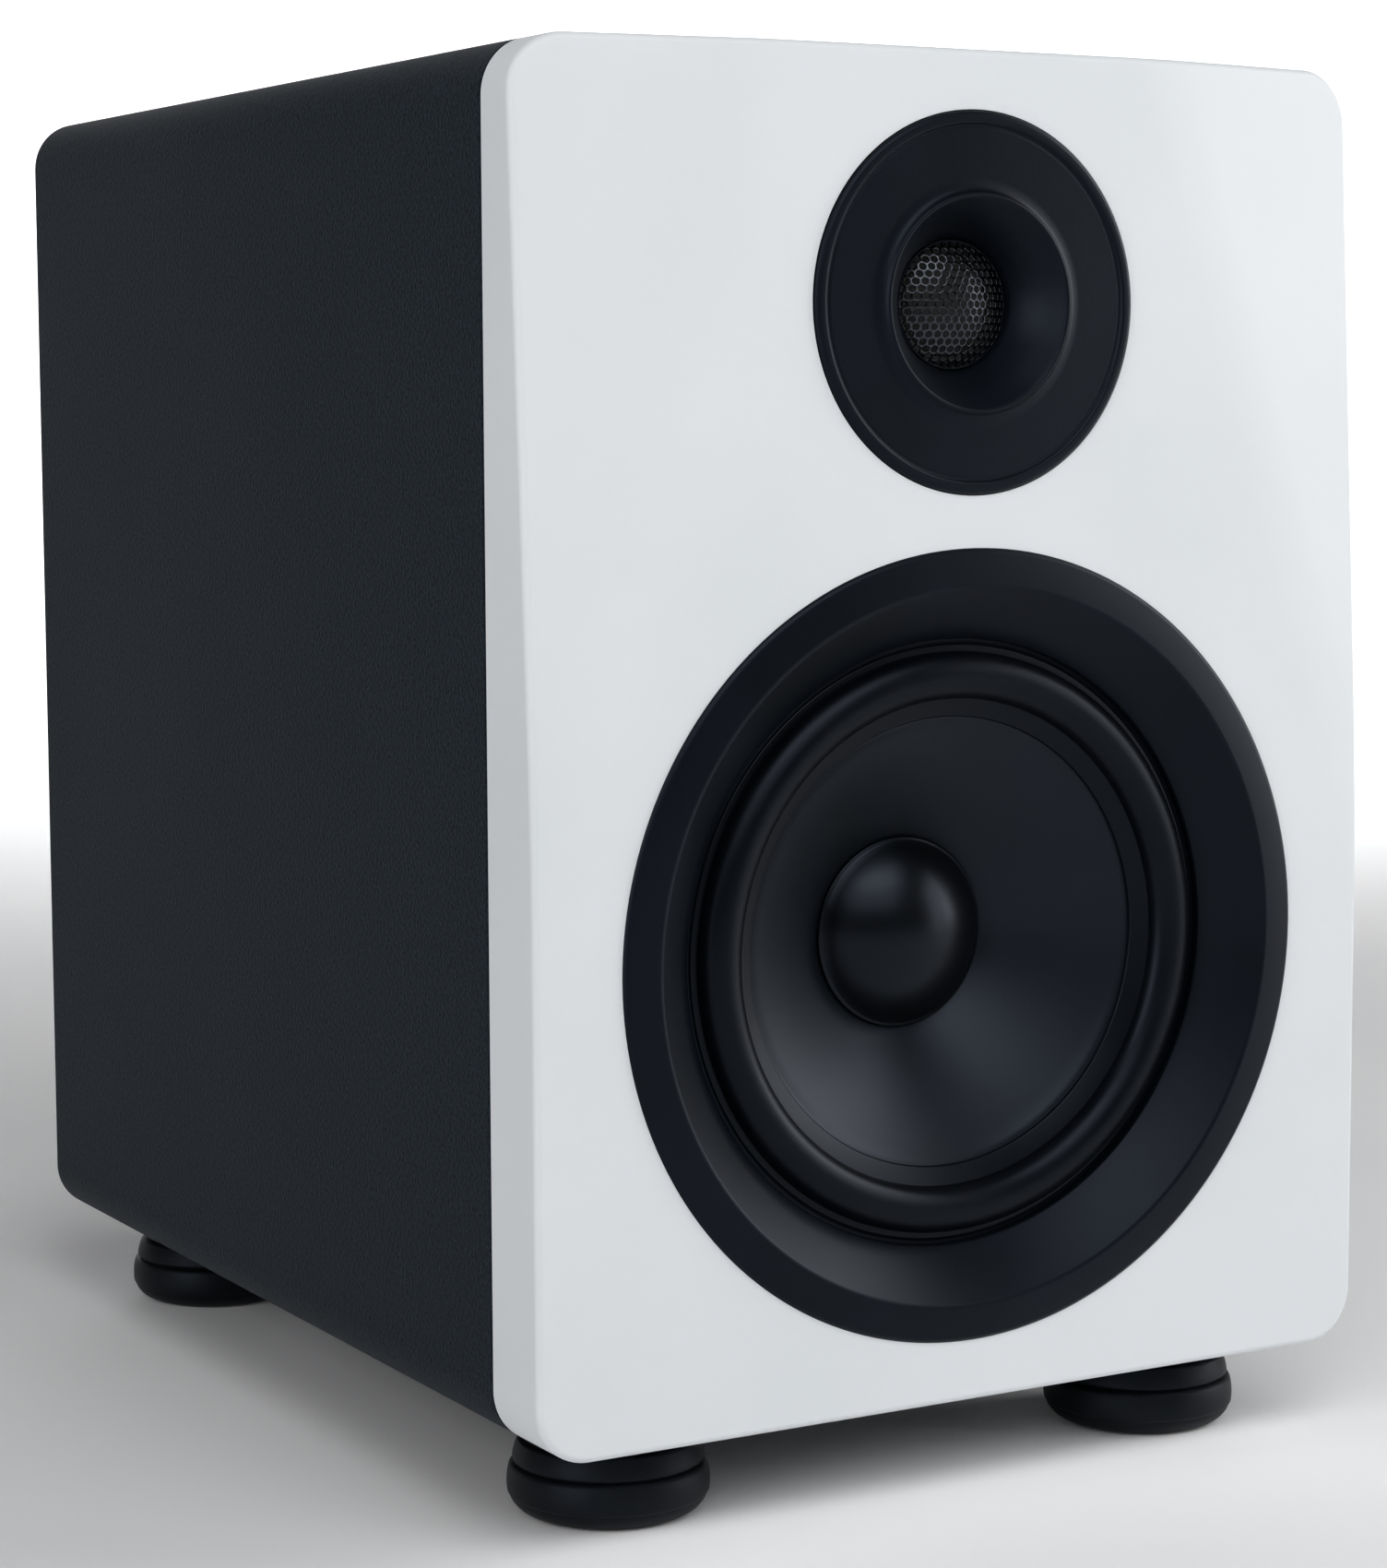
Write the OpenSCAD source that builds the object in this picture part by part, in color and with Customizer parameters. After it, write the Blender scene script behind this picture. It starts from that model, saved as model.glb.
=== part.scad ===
// Two-way bookshelf loudspeaker: a wrapped cabinet with a white baffle, a 5.25 inch
// woofer, a meshed dome tweeter, a rear bass port and a pair of binding posts.
// Millimetres. +Z is up, -Y is the front. The origin is on the floor, in the middle.

/* [Cabinet] */
// Width of the cabinet and the baffle
body_w = 200; // [196:1:230]
// Height of the cabinet and the baffle, without the feet
body_h = 273.6; // [270:0.2:330]
// Depth of the cabinet behind the baffle
body_d = 248; // [240:1:300]
// Radius of the four long edges
edge_r = 11.5; // [6:0.5:14]
// Thickness of the cabinet's board
wall_t = 15; // [12:1:16]
// Thickness of the front baffle
baffle_t = 19.6; // [18:0.2:24]
// Distance from the side to the crease of the corner facet, along the top edge
facet_in = 53; // [40:1:56]
// Distance from the top to the crease of the corner facet, down the side
facet_drop = 154; // [130:1:170]
// Tilt of the corner facets
facet_tilt = 9.3; // [4:0.1:12]

/* [Woofer] */
// Height of the woofer's axis above the cabinet's underside
woofer_up = 93.9; // [90:0.1:96]
// Outer radius of the woofer's trim ring
ring_r = 81.15; // [80.5:0.05:84]
// How far the trim ring's crest stands in front of the baffle
ring_proud = 2; // [1:0.1:4]
// Radius at the middle of the rubber surround
roll_r = 55.1; // [54.8:0.1:55.4]
// Radius of the dust cap
cap_r = 20; // [17:0.1:21]
// Radius of the ferrite magnet
magnet_r = 41; // [36:1:45]

/* [Tweeter] */
// Height of the tweeter's axis above the cabinet's underside
tweeter_up = 223.6; // [222:0.1:226]
// Radius of the tweeter's faceplate
face_r = 37.9; // [36:0.1:39]
// How far the waveguide's lip stands in front of the baffle
lip_proud = 2; // [1:0.1:3]
// Radius of the mesh dome
mesh_r = 12.7; // [12.4:0.1:12.8]

/* [Feet] */
// Height of a foot
foot_h = 20.5; // [16:0.5:26]
// Largest radius of a foot
foot_r = 21; // [18:0.5:24]
// Distance of the feet from the middle, sideways
foot_x = 67; // [60:1:76]

/* [Back] */
// Height of the bass port's axis above the cabinet's underside
port_up = 190; // [170:1:205]
// Radius of the port's bore
port_r = 22; // [18:1:26]
// Length of the port tube
port_len = 110; // [80:1:130]
// Height of the terminal cup's middle above the cabinet's underside
cup_up = 78; // [70:1:90]
// Distance between the two binding posts
post_gap = 19; // [18:0.5:24]

/* [Hidden] */

eps = 0.01;                       // overlap that keeps a cut clean
round_fn = 96;
flange_t = 2.5;                   // plates that stand proud of the back panel
head_h = 1.2;                     // heads of the screws in the back plate
pilot = 0.06;                     // play between a screw and its hole in the board

// The frame: where the main planes lie
total_d = ring_proud + baffle_t + body_d + flange_t + head_h;
front_y = -total_d / 2 + ring_proud;
joint_y = front_y + baffle_t;
back_y = joint_y + body_d;
base_z = foot_h;
top_z = base_z + body_h;
woofer_z = base_z + woofer_up;
tweeter_z = base_z + tweeter_up;
port_z = base_z + port_up;
cup_z = base_z + cup_up;
inner_w = body_w - 2 * wall_t;
inner_h = body_h - 2 * wall_t;
inner_back_y = back_y - wall_t;
mid_z = base_z + body_h / 2;

// Woofer, as radii and heights in front of the baffle's face (negative is behind it)
crest_r = 73.3;                   // the trim ring's crest
ring_in_r = 62.5;                 // the trim ring's inner edge
ring_in_h = -7.4;
seat_h = -9.4;                    // front of the basket's flange
basket_r = 77;
basket_t = 2.5;
gasket_t = 1.1;
rebate_h = seat_h - basket_t - gasket_t;
rebate_r = 79;
woofer_hole_r = 68;
woofer_screw_r = 72.5;
woofer_screws_n = 6;
roll_half = 4.85;                 // half the width of the surround's roll
roll_rise = 4.2;
roll_h = -8.2;
roll_t = 0.9;
cone_r = 50;
cone_t = 0.8;
cone_rim_h = -9.2;
cone_neck_h = -33;
coil_r = 12.65;                   // inside of the voice coil's former
former_t = 0.25;
former_end_h = -57;
winding_t = 0.6;
winding_len = 12;
cap_h = -27.1;                    // rim of the dust cap
cap_rise = 9.5;
cap_t = 0.7;
ledge_h = -42;                    // the spider's ledge
ledge_r = 36;
plate_h = -48;                    // front of the magnet's top plate
plate_t = 5;
magnet_t = 16;
pole_r = 12.1;
plate_hole_r = 14.3;

// Tweeter, in the same way
face_t = 3.5;
face_gap = 0.15;
face_flat_h = 0.5;
lip_r = 21.8;
throat_r = 13;
throat_h = -9;
mesh_h = -8.6;
mesh_rise = 4.2;
mesh_t = 0.5;
body_in_r = 24.3;
body_out_r = 27;
body_end_h = -13;
tweeter_hole_r = 27.6;
tweeter_screw_r = 31.5;
dome_r = 10;
dome_h = -11.6;
dome_rise = 3.2;
dome_t = 0.35;
tweeter_plate_h = -13.2;
tweeter_plate_t = 3;
tweeter_magnet_t = 7;
tweeter_yoke_t = 3.5;
tweeter_gap_in = 9.2;
tweeter_gap_out = 11;
chamber_len = 9;

// Back
port_wall = 2.5;
port_flange_r = port_r + 16;
port_mouth_r = port_r + 10;
cup_w = 84;
cup_tall = 68;
cup_pocket_w = 60;
cup_pocket_h = 42;
cup_depth = 22;
cup_wall = 2.5;
seal_t = 0.8;                     // gasket under the cup's flange, in a rebate
cup_corner = 7;
cup_screw_x = 35.5;
cup_screw_z = 27.5;
cup_screw_r = 1.5;
stud_r = 3;
stud_len = 17;
socket_r = 2;                     // a 4 mm plug goes in here
socket_len = 11;
wire_hole_r = 1.2;
tail_r = 2;
tail_len = 12;
post_base_r = 7;
post_base_t = 3;
washer_r = 6.4;
washer_t = 1;
touch = 0.1;                      // play between pieces that press on each other
cap_len = 12;
cap_bore_r = stud_r + 0.06;
post_cap_r = 7;
floor_y = back_y - cup_depth;     // the floor of the terminal cup's pocket

// Inside
brace_y = joint_y + 140;
brace_t = 12;
brace_rim = 22;
lining_t = 12;
board_w = 100;
board_d = 66;
board_t = 1.6;
board_z = base_z + wall_t + 5;
board_y = inner_back_y - 8 - board_d / 2;
coil_x = 28;
board_screw_r = 1.6;
board_bite = 7;                   // how deep the board's screws go into the floor
wire_r = 1.1;

// Feet: [x, y] of each
foot_front_y = joint_y + 13.5;
foot_back_y = joint_y + 223;
foot_hole_r = 2.5;
foot_screw_r = 1.9;
foot_bite = 11;                   // how deep the feet's screws go into the cabinet
foot_pocket_r = 6.5;
foot_pocket_h = 10;

// ---- helpers ----

// A driver's own frame: z points out of the baffle, at height up on the front face
module on_baffle(up) translate([0, front_y, up]) rotate([90, 0, 0]) children();

// A back fitting's frame: z points out of the back, at [x, up] on the back face
module on_back(x, up) translate([x, back_y, up]) rotate([-90, 0, 0]) children();

module ring(r_out, r_in, h_low, h_high)
    difference() {
        translate([0, 0, h_low]) cylinder(r = r_out, h = h_high - h_low, $fn = round_fn);
        translate([0, 0, h_low - 1]) cylinder(r = r_in, h = h_high - h_low + 2, $fn = round_fn);
    }

module turned(points) rotate_extrude($fn = round_fn) polygon(points);

module rounded_box(w, h, r)
    union() {
        square([w - 2 * r, h], center = true);
        square([w, h - 2 * r], center = true);
        for (sx = [-1, 1], sz = [-1, 1])
            translate([sx * (w / 2 - r), sz * (h / 2 - r)]) circle(r = r, $fn = round_fn);
    }

// An outline in X and Z, made into a slab from y_low to y_high
module slab(y_low, y_high) translate([0, y_high, mid_z]) rotate([90, 0, 0])
    linear_extrude(y_high - y_low) children();

// Points of a dome's profile: base radius, base height, rise, and offset of the skin
function dome_ball(r, rise) = (r * r + rise * rise) / (2 * rise);
function dome_points(r, base, rise, out, n) =
    let (ball = dome_ball(r, rise), half = asin(r / ball))
    [for (i = [0 : n])
        let (a = half * (1 - i / n))
        [(ball + out) * sin(a), base + rise - ball + (ball + out) * cos(a)]];
function reversed(list) = [for (i = [len(list) - 1 : -1 : 0]) list[i]];

// The surround's half roll, from the outside in
function roll_points(out, n) =
    [for (i = [0 : n])
        let (a = 180 * i / n)
        [roll_r + (roll_half + out) * cos(a), roll_h + (roll_rise + out) * sin(a)]];

// The cone's flare, from the rim to the neck, bowed a little to the front
cone_bow = 1.3;
function cone_points(back, n) =
    [for (i = [0 : n])
        let (t = i / n)
        [cone_r + (coil_r + former_t + 0.4 - cone_r) * t,
         cone_rim_h + (cone_neck_h - cone_rim_h) * t + 4 * cone_bow * t * (1 - t) - back]];

// One wire swept through a list of points, as a tube of flat sides
wire_sides = 8;
function unit(v) = v / norm(v);
function along(p, i) = unit(
    (i > 0 ? unit(p[i] - p[i - 1]) : [0, 0, 0]) +
    (i < len(p) - 1 ? unit(p[i + 1] - p[i]) : [0, 0, 0]));
function wire_ring(p, i, r) =
    let (d = along(p, i), u = unit(cross(d, [1, 0.2, 0.1])), v = cross(d, u))
    [for (k = [0 : wire_sides - 1])
        let (a = 360 * k / wire_sides) p[i] + r * (u * cos(a) + v * sin(a))];
module wire(points, r) {
    n = wire_sides;
    last = (len(points) - 1) * n;
    polyhedron(
        points = [for (i = [0 : len(points) - 1]) each wire_ring(points, i, r)],
        faces = [
            [for (k = [0 : n - 1]) k],
            for (i = [0 : len(points) - 2], k = [0 : n - 1]) let (j = (k + 1) % n)
                [i * n + k, (i + 1) * n + k, (i + 1) * n + j, i * n + j],
            [for (k = [n - 1 : -1 : 0]) last + k]
        ]
    );
}

// ---- cabinet ----

module cabinet_shell() color("#1e2428")
    difference() {
        slab(joint_y, back_y) difference() {
            rounded_box(body_w, body_h, edge_r);
            square([inner_w, inner_h], center = true);
        }
        dowel_pins(pilot);
        foot_spots() translate([0, 0, base_z - 1])
            cylinder(r = foot_screw_r + pilot, h = foot_bite + 1.5, $fn = 32);
        on_board() board_corners() translate([0, 0, -board_t - 5 - board_bite])
            cylinder(r = board_screw_r + pilot, h = board_bite + 1, $fn = 32);
    }

module facet_cut()
    translate([body_w / 2, front_y, top_z - facet_drop])
        rotate([0, -atan(facet_in / facet_drop), 0])
        rotate([0, 0, facet_tilt])
        translate([0, -body_d / 2, -body_h]) cube([body_w, body_d / 2, 2 * body_h]);

module front_baffle() color("#d6dadd")
    difference() {
        slab(front_y, joint_y) rounded_box(body_w, body_h, edge_r);
        facet_cut();
        mirror([1, 0, 0]) facet_cut();
        on_baffle(woofer_z) {
            translate([0, 0, rebate_h]) cylinder(r = rebate_r, h = baffle_t, $fn = round_fn);
            translate([0, 0, -baffle_t - 1])
                cylinder(r = woofer_hole_r, h = baffle_t + 2, $fn = round_fn);
        }
        on_baffle(tweeter_z) {
            translate([0, 0, -face_t]) cylinder(r = face_r + face_gap, h = 2 * face_t, $fn = round_fn);
            translate([0, 0, -baffle_t - 1])
                cylinder(r = tweeter_hole_r, h = baffle_t + 2, $fn = round_fn);
        }
        on_baffle(woofer_z) screw_circle(woofer_screws_n, woofer_screw_r)
            translate([0, 0, -baffle_t]) cylinder(r = 2 + pilot, h = baffle_t / 2, $fn = 32);
        on_baffle(tweeter_z) screw_circle(4, tweeter_screw_r)
            translate([0, 0, -baffle_t - 1]) cylinder(r = 1.5 + pilot, h = baffle_t, $fn = 32);
        dowel_pins(pilot);
    }

module back_panel() color("#22282c")
    difference() {
        slab(inner_back_y, back_y) square([inner_w, inner_h], center = true);
        on_back(0, port_z) translate([0, 0, -wall_t - 1])
            cylinder(r = port_mouth_r + 0.5, h = wall_t + 2, $fn = round_fn);
        on_back(0, cup_z) cup_screw_spots() translate([0, 0, -wall_t + 1.5])
            cylinder(r = cup_screw_r + pilot, h = wall_t, $fn = 32);
        on_back(0, cup_z) translate([0, 0, -seal_t])
            linear_extrude(2 * seal_t) rounded_box(cup_w - 3.8, cup_tall - 3.8, cup_corner);
        translate([0, back_y, cup_z])
            cube([cup_pocket_w + 2 * cup_wall + 1, 3 * wall_t, cup_pocket_h + 2 * cup_wall + 1],
                 center = true);
    }

module cabinet_brace() color("#a98558")
    difference() {
        slab(brace_y, brace_y + brace_t) square([inner_w, inner_h], center = true);
        slab(brace_y - 1, brace_y + brace_t + 1)
            for (side = [-1, 1])
                translate([0, side * (inner_h - brace_rim) / 4])
                    rounded_box(inner_w - 2 * brace_rim, (inner_h - 3 * brace_rim) / 2, edge_r);
    }

// Dowels that locate the baffle on the cabinet, in the middle of the board's thickness
dowel_r = 3;
dowel_len = 16;
module dowel_pins(play)
    for (sx = [-1, 1], sz = [-1, 1])
        translate([sx * (body_w - wall_t) / 2, joint_y, mid_z + sz * body_h / 3])
            rotate([90, 0, 0])
            cylinder(r = dowel_r + play, h = dowel_len + 2 * play, center = true, $fn = 32);

module baffle_dowels() color("#c9a26b") dowel_pins(0);

module lining_left() color("#dcdcd4") side_lining(-1);
module lining_right() color("#dcdcd4") side_lining(1);
module side_lining(side)
    translate([side * (inner_w - lining_t) / 2, (joint_y + 20 + brace_y) / 2, mid_z])
        cube([lining_t, brace_y - joint_y - 24, inner_h - 4 * lining_t], center = true);
module lining_top() color("#dcdcd4")
    translate([0, (joint_y + 20 + brace_y) / 2, top_z - wall_t - lining_t / 2])
        cube([inner_w - 3 * lining_t, brace_y - joint_y - 24, lining_t], center = true);

// ---- woofer ----

module woofer_trim_ring() color("#1c1f24")
    on_baffle(woofer_z) turned([
        [ring_in_r, ring_in_h - 1.2], [ring_in_r, ring_in_h], [crest_r, ring_proud],
        [ring_r - 1.4, ring_proud - 0.5], [ring_r, 0.5], [ring_r, eps], [rebate_r - 0.3, eps],
        [rebate_r - 0.3, -2], [crest_r + 0.5, -1.5], [ring_in_r + 3, ring_in_h - 1.2]
    ]);

module woofer_basket() color("#2a2c30")
    on_baffle(woofer_z) difference() {
        turned([
            [60.5, seat_h], [basket_r, seat_h], [basket_r, seat_h - basket_t],
            [66.3, seat_h - basket_t], [64.6, seat_h - 7], [43, ledge_h - 2], [43, plate_h],
            [plate_hole_r + 0.3, plate_h], [plate_hole_r + 0.3, plate_h + 2],
            [ledge_r, plate_h + 2], [ledge_r, ledge_h], [41.4, ledge_h],
            [62.8, seat_h - 6], [62.8, seat_h - basket_t], [60.5, seat_h - basket_t]
        ]);
        for (i = [0 : 5]) rotate([0, 0, 60 * i])
            translate([30, -14, ledge_h + 1]) cube([basket_r, 28, 22]);
        screw_circle(woofer_screws_n, woofer_screw_r)
            translate([0, 0, seat_h - basket_t - 1]) cylinder(r = 2.4, h = basket_t + 2, $fn = 32);
    }

module screw_circle(n, r) for (i = [0 : n - 1]) rotate([0, 0, 360 / n * i]) translate([r, 0, 0])
    children();

module woofer_gasket() color("#303236")
    on_baffle(woofer_z) difference() {
        ring(basket_r, woofer_hole_r + 0.2, rebate_h, rebate_h + gasket_t);
        screw_circle(woofer_screws_n, woofer_screw_r)
            translate([0, 0, rebate_h - 1]) cylinder(r = 2.4, h = gasket_t + 2, $fn = 32);
    }

module woofer_screws() color("#3a3c40")
    on_baffle(woofer_z) screw_circle(woofer_screws_n, woofer_screw_r) union() {
        translate([0, 0, seat_h]) cylinder(r1 = 4, r2 = 2.8, h = 2, $fn = 32);
        translate([0, 0, -baffle_t + 1]) cylinder(r = 2, h = baffle_t - 1 + seat_h + eps, $fn = 32);
    }

module woofer_top_plate() color("#8e9296")
    on_baffle(woofer_z) ring(magnet_r - 2, plate_hole_r, plate_h - plate_t, plate_h);

module woofer_magnet() color("#3b3d40")
    on_baffle(woofer_z)
        ring(magnet_r, magnet_r / 2, plate_h - plate_t - magnet_t, plate_h - plate_t);

module woofer_pole_piece() color("#8e9296")
    on_baffle(woofer_z) difference() {
        union() {
            translate([0, 0, plate_h - 2 * plate_t - magnet_t])
                cylinder(r = magnet_r - 3, h = plate_t, $fn = round_fn);
            translate([0, 0, plate_h - plate_t - magnet_t - eps])
                cylinder(r = pole_r, h = plate_t + magnet_t + 2, $fn = round_fn);
        }
        translate([0, 0, plate_h - 2 * plate_t - magnet_t - 1])
            cylinder(r = pole_r / 2, h = 60, $fn = round_fn);
    }

// A strip on the side of the basket's foot, with two solder tabs
strip_r = 43.1;
strip_t = 2;
tab_x = 4;
tab_len = 7;
module woofer_terminal_strip() color("#b08a4e")
    on_baffle(woofer_z) translate([strip_r, 0, plate_h]) union() {
        translate([0, -2 * tab_x, 0.2]) cube([strip_t, 4 * tab_x, 3.6]);
        for (s = [-1, 1])
            translate([strip_t - eps, s * tab_x - 1.5, 1.6]) cube([tab_len, 3, 0.8]);
    }

module woofer_tinsel_leads() color("#b87333")
    on_baffle(woofer_z)
        for (s = [-1, 1])
            wire([[27.5, s * tab_x, -26], [40, s * tab_x, -31], [48.5, s * tab_x, -37],
                  [48.5, s * tab_x, plate_h + 3.3]], 0.7);

module woofer_surround() color("#17191c")
    on_baffle(woofer_z) turned(concat(
        [[ring_in_r - 0.2, roll_h - roll_t], [ring_in_r - 0.2, roll_h]],
        roll_points(0, 24),
        [[cone_r - 3, roll_h], [cone_r - 3, roll_h - roll_t],
         [roll_r - roll_half + roll_t, roll_h - roll_t]],
        reversed(roll_points(-roll_t, 24)),
        [[roll_r + roll_half - roll_t, roll_h - roll_t]]
    ));

spider_t = 0.5;
spider_wave = 1.2;
spider_n = 36;
function spider_points(low) = [for (i = [0 : spider_n])
    [coil_r + former_t + 0.3 + (41 - coil_r - former_t - 0.3) * i / spider_n,
     ledge_h + 0.3 + spider_wave + low + spider_wave * sin(360 * 4 * i / spider_n)]];
module woofer_spider() color("#c8a25a")
    on_baffle(woofer_z) turned(concat(spider_points(0), reversed(spider_points(spider_t))));

module woofer_cone() color("#1d2023")
    on_baffle(woofer_z)
        turned(concat(cone_points(0.15, 20), reversed(cone_points(0.15 + cone_t, 20))));

module woofer_dust_cap() color("#1a1c1f")
    on_baffle(woofer_z) turned(concat(
        dome_points(cap_r, cap_h, cap_rise, 0, 16),
        reversed(dome_points(cap_r, cap_h, cap_rise, -cap_t, 16))
    ));

module woofer_coil_former() color("#d8c48a")
    on_baffle(woofer_z) ring(coil_r + former_t, coil_r, former_end_h, cone_neck_h + 1);

module woofer_voice_coil() color("#b5651d")
    on_baffle(woofer_z)
        ring(coil_r + former_t + winding_t, coil_r + former_t, former_end_h,
             former_end_h + winding_len);

// ---- tweeter ----

module tweeter_faceplate() color("#181a1d")
    on_baffle(tweeter_z) difference() {
        turned([
            [face_r, -face_t], [face_r, 0.2], [face_r - 0.6, 0.8], [face_r - 2.4, 0.9],
            [face_r - 2.8, 0.2], [face_r - 3.4, 0.2], [face_r - 3.8, face_flat_h],
            [lip_r + 2.4, face_flat_h], [lip_r + 1.2, 1], [lip_r + 0.5, lip_proud - 0.2],
            [lip_r, lip_proud], [lip_r - 0.6, lip_proud - 0.2], [19.6, 0.2], [17.2, -2.6],
            [15, -5.4], [13.6, -7.6], [throat_r, throat_h], [throat_r, throat_h - 1.2],
            [throat_r + 2.4, throat_h - 1.2], [throat_r + 5, -5], [body_in_r - 1, -face_t],
            [body_in_r, -face_t], [body_in_r, body_end_h], [body_out_r, body_end_h],
            [body_out_r, -face_t]
        ]);
        screw_circle(4, tweeter_screw_r)
            translate([0, 0, -face_t - 1]) cylinder(r = 1.7, h = 1 + 1.6, $fn = 24);
    }

module tweeter_mesh() color("#2d3034")
    on_baffle(tweeter_z) turned(concat(
        dome_points(mesh_r, mesh_h, mesh_rise, 0, 12),
        reversed(dome_points(mesh_r, mesh_h, mesh_rise, -mesh_t, 12))
    ));

module tweeter_surround() color("#101113")
    on_baffle(tweeter_z) turned([
        [dome_r + 0.4, dome_h], [dome_r + 0.8, dome_h + 0.7], [dome_r + 1.6, dome_h + 0.7],
        [dome_r + 2.2, dome_h], [body_in_r - 0.3, dome_h], [body_in_r - 0.3, dome_h - 0.4],
        [dome_r + 0.4, dome_h - 0.4]
    ]);

module tweeter_dome() color("#111214")
    on_baffle(tweeter_z) turned(concat(
        dome_points(dome_r, dome_h, dome_rise, 0, 12),
        reversed(dome_points(dome_r, dome_h, dome_rise, -dome_t, 12))
    ));

module tweeter_voice_coil() color("#b5651d")
    on_baffle(tweeter_z) ring(dome_r + 0.2, dome_r - 0.2, dome_h - 4, dome_h - 0.4);

module tweeter_top_plate() color("#8e9296")
    on_baffle(tweeter_z)
        ring(body_out_r - 2.9, tweeter_gap_out, tweeter_plate_h - tweeter_plate_t, tweeter_plate_h);

tweeter_magnet_h = tweeter_plate_h - tweeter_plate_t;
tweeter_yoke_h = tweeter_magnet_h - tweeter_magnet_t;
module tweeter_magnet() color("#3b3d40")
    on_baffle(tweeter_z) ring(body_out_r - 2, 14, tweeter_yoke_h, tweeter_magnet_h);

module tweeter_pole_piece() color("#8e9296")
    on_baffle(tweeter_z) union() {
        translate([0, 0, tweeter_yoke_h - tweeter_yoke_t])
            cylinder(r = body_out_r - 3, h = tweeter_yoke_t, $fn = round_fn);
        translate([0, 0, tweeter_yoke_h - eps])
            cylinder(r = tweeter_gap_in, h = tweeter_magnet_t + tweeter_plate_t, $fn = round_fn);
    }

module tweeter_rear_chamber() color("#202226")
    on_baffle(tweeter_z) difference() {
        translate([0, 0, tweeter_yoke_h - tweeter_yoke_t - chamber_len])
            cylinder(r = body_out_r - 3, h = chamber_len, $fn = round_fn);
        translate([0, 0, tweeter_yoke_h - tweeter_yoke_t - chamber_len + 2])
            cylinder(r = body_out_r - 5, h = chamber_len, $fn = round_fn);
    }

// Screws that hold the faceplate from behind, so that its face stays clean
module tweeter_screws() color("#3a3c40")
    on_baffle(tweeter_z) screw_circle(4, tweeter_screw_r) union() {
        translate([0, 0, -baffle_t - 1.6]) cylinder(r = 2.8, h = 1.6, $fn = 32);
        translate([0, 0, -baffle_t - eps]) cylinder(r = 1.5, h = baffle_t - 2.4, $fn = 32);
    }

// ---- back ----

module port_tube() color("#1b1d20")
    on_back(0, port_z) turned([
        [port_r, -16], [port_r + 0.6, -10], [port_r + 2.4, -4.5], [port_r + 5.4, -0.8],
        [port_r + 9, 2], [port_mouth_r, flange_t], [port_flange_r - 1, flange_t],
        [port_flange_r, flange_t - 1], [port_flange_r, eps], [port_mouth_r - 0.5, eps],
        [port_r + 7.5, -3], [port_r + 5, -7.5], [port_r + port_wall + 0.7, -13],
        [port_r + port_wall, -17], [port_r + port_wall, -port_len + 8],
        [port_r + port_wall + 3, -port_len + 1], [port_r + 3.5, -port_len],
        [port_r + 1, -port_len + 6], [port_r, -port_len + 12]
    ]);

module cup_outline(grow) rounded_box(cup_w + grow, cup_tall + grow, cup_corner + grow / 2);

module cup_screw_spots() for (sx = [-1, 1], sz = [-1, 1])
    translate([sx * cup_screw_x, sz * cup_screw_z, 0]) children();

module terminal_cup() color("#1b1d20")
    on_back(0, cup_z) difference() {
        union() {
            linear_extrude(flange_t) cup_outline(0);
            translate([0, 0, -cup_depth - cup_wall])
                linear_extrude(cup_depth + cup_wall + eps)
                rounded_box(cup_pocket_w + 2 * cup_wall, cup_pocket_h + 2 * cup_wall,
                            cup_corner + cup_wall);
        }
        translate([0, 0, -cup_depth]) linear_extrude(2 * cup_depth)
            rounded_box(cup_pocket_w, cup_pocket_h, cup_corner);
        cup_screw_spots() translate([0, 0, -1]) cylinder(r = 1.8, h = 2 * flange_t, $fn = 32);
        for (s = [-1, 1]) translate([s * post_gap / 2, 0, -cup_depth - cup_wall - 1])
            cylinder(r = tail_r + 0.1, h = 2 * cup_wall, $fn = 32);
    }

module cup_gasket() color("#2b2d30")
    on_back(0, cup_z) translate([0, 0, -seal_t]) difference() {
        linear_extrude(seal_t) rounded_box(cup_w - 4, cup_tall - 4, cup_corner);
        translate([0, 0, -1]) linear_extrude(3)
            rounded_box(cup_pocket_w + 2 * cup_wall + 2, cup_pocket_h + 2 * cup_wall + 2, cup_corner);
        cup_screw_spots() translate([0, 0, -1]) cylinder(r = 1.8, h = 3, $fn = 32);
    }

module cup_screws() color("#45484c")
    on_back(0, cup_z) cup_screw_spots() union() {
        translate([0, 0, flange_t]) cylinder(r1 = 3.2, r2 = 2.4, h = head_h, $fn = 32);
        translate([0, 0, -wall_t + 2])
            cylinder(r = cup_screw_r, h = wall_t - 2 + flange_t + eps, $fn = 32);
    }

// ---- binding posts: the frame's z points out of the back from the pocket's floor ----

module on_floor(side) translate([side * post_gap / 2, floor_y, cup_z]) rotate([-90, 0, 0])
    children();

module post_stud()
    difference() {
        union() {
            translate([0, 0, eps]) cylinder(r = stud_r, h = stud_len, $fn = 48);
            translate([0, 0, -cup_wall - tail_len])
                cylinder(r = tail_r, h = cup_wall + tail_len + 1, $fn = 48);
        }
        translate([0, 0, stud_len - socket_len])
            cylinder(r = socket_r, h = socket_len + 1, $fn = 48);
        translate([0, 0, post_base_t + 1.4]) rotate([90, 0, 0])
            cylinder(r = wire_hole_r, h = 4 * stud_r, center = true, $fn = 32);
    }
module post_base() ring(post_base_r, stud_r + 0.05, eps, post_base_t);
module post_washer()
    ring(washer_r, stud_r + 0.15, post_base_t + touch, post_base_t + touch + washer_t);
module post_cap()
    ring(post_cap_r, cap_bore_r, post_base_t + washer_t + 2 * touch,
         post_base_t + washer_t + 2 * touch + cap_len);

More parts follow.
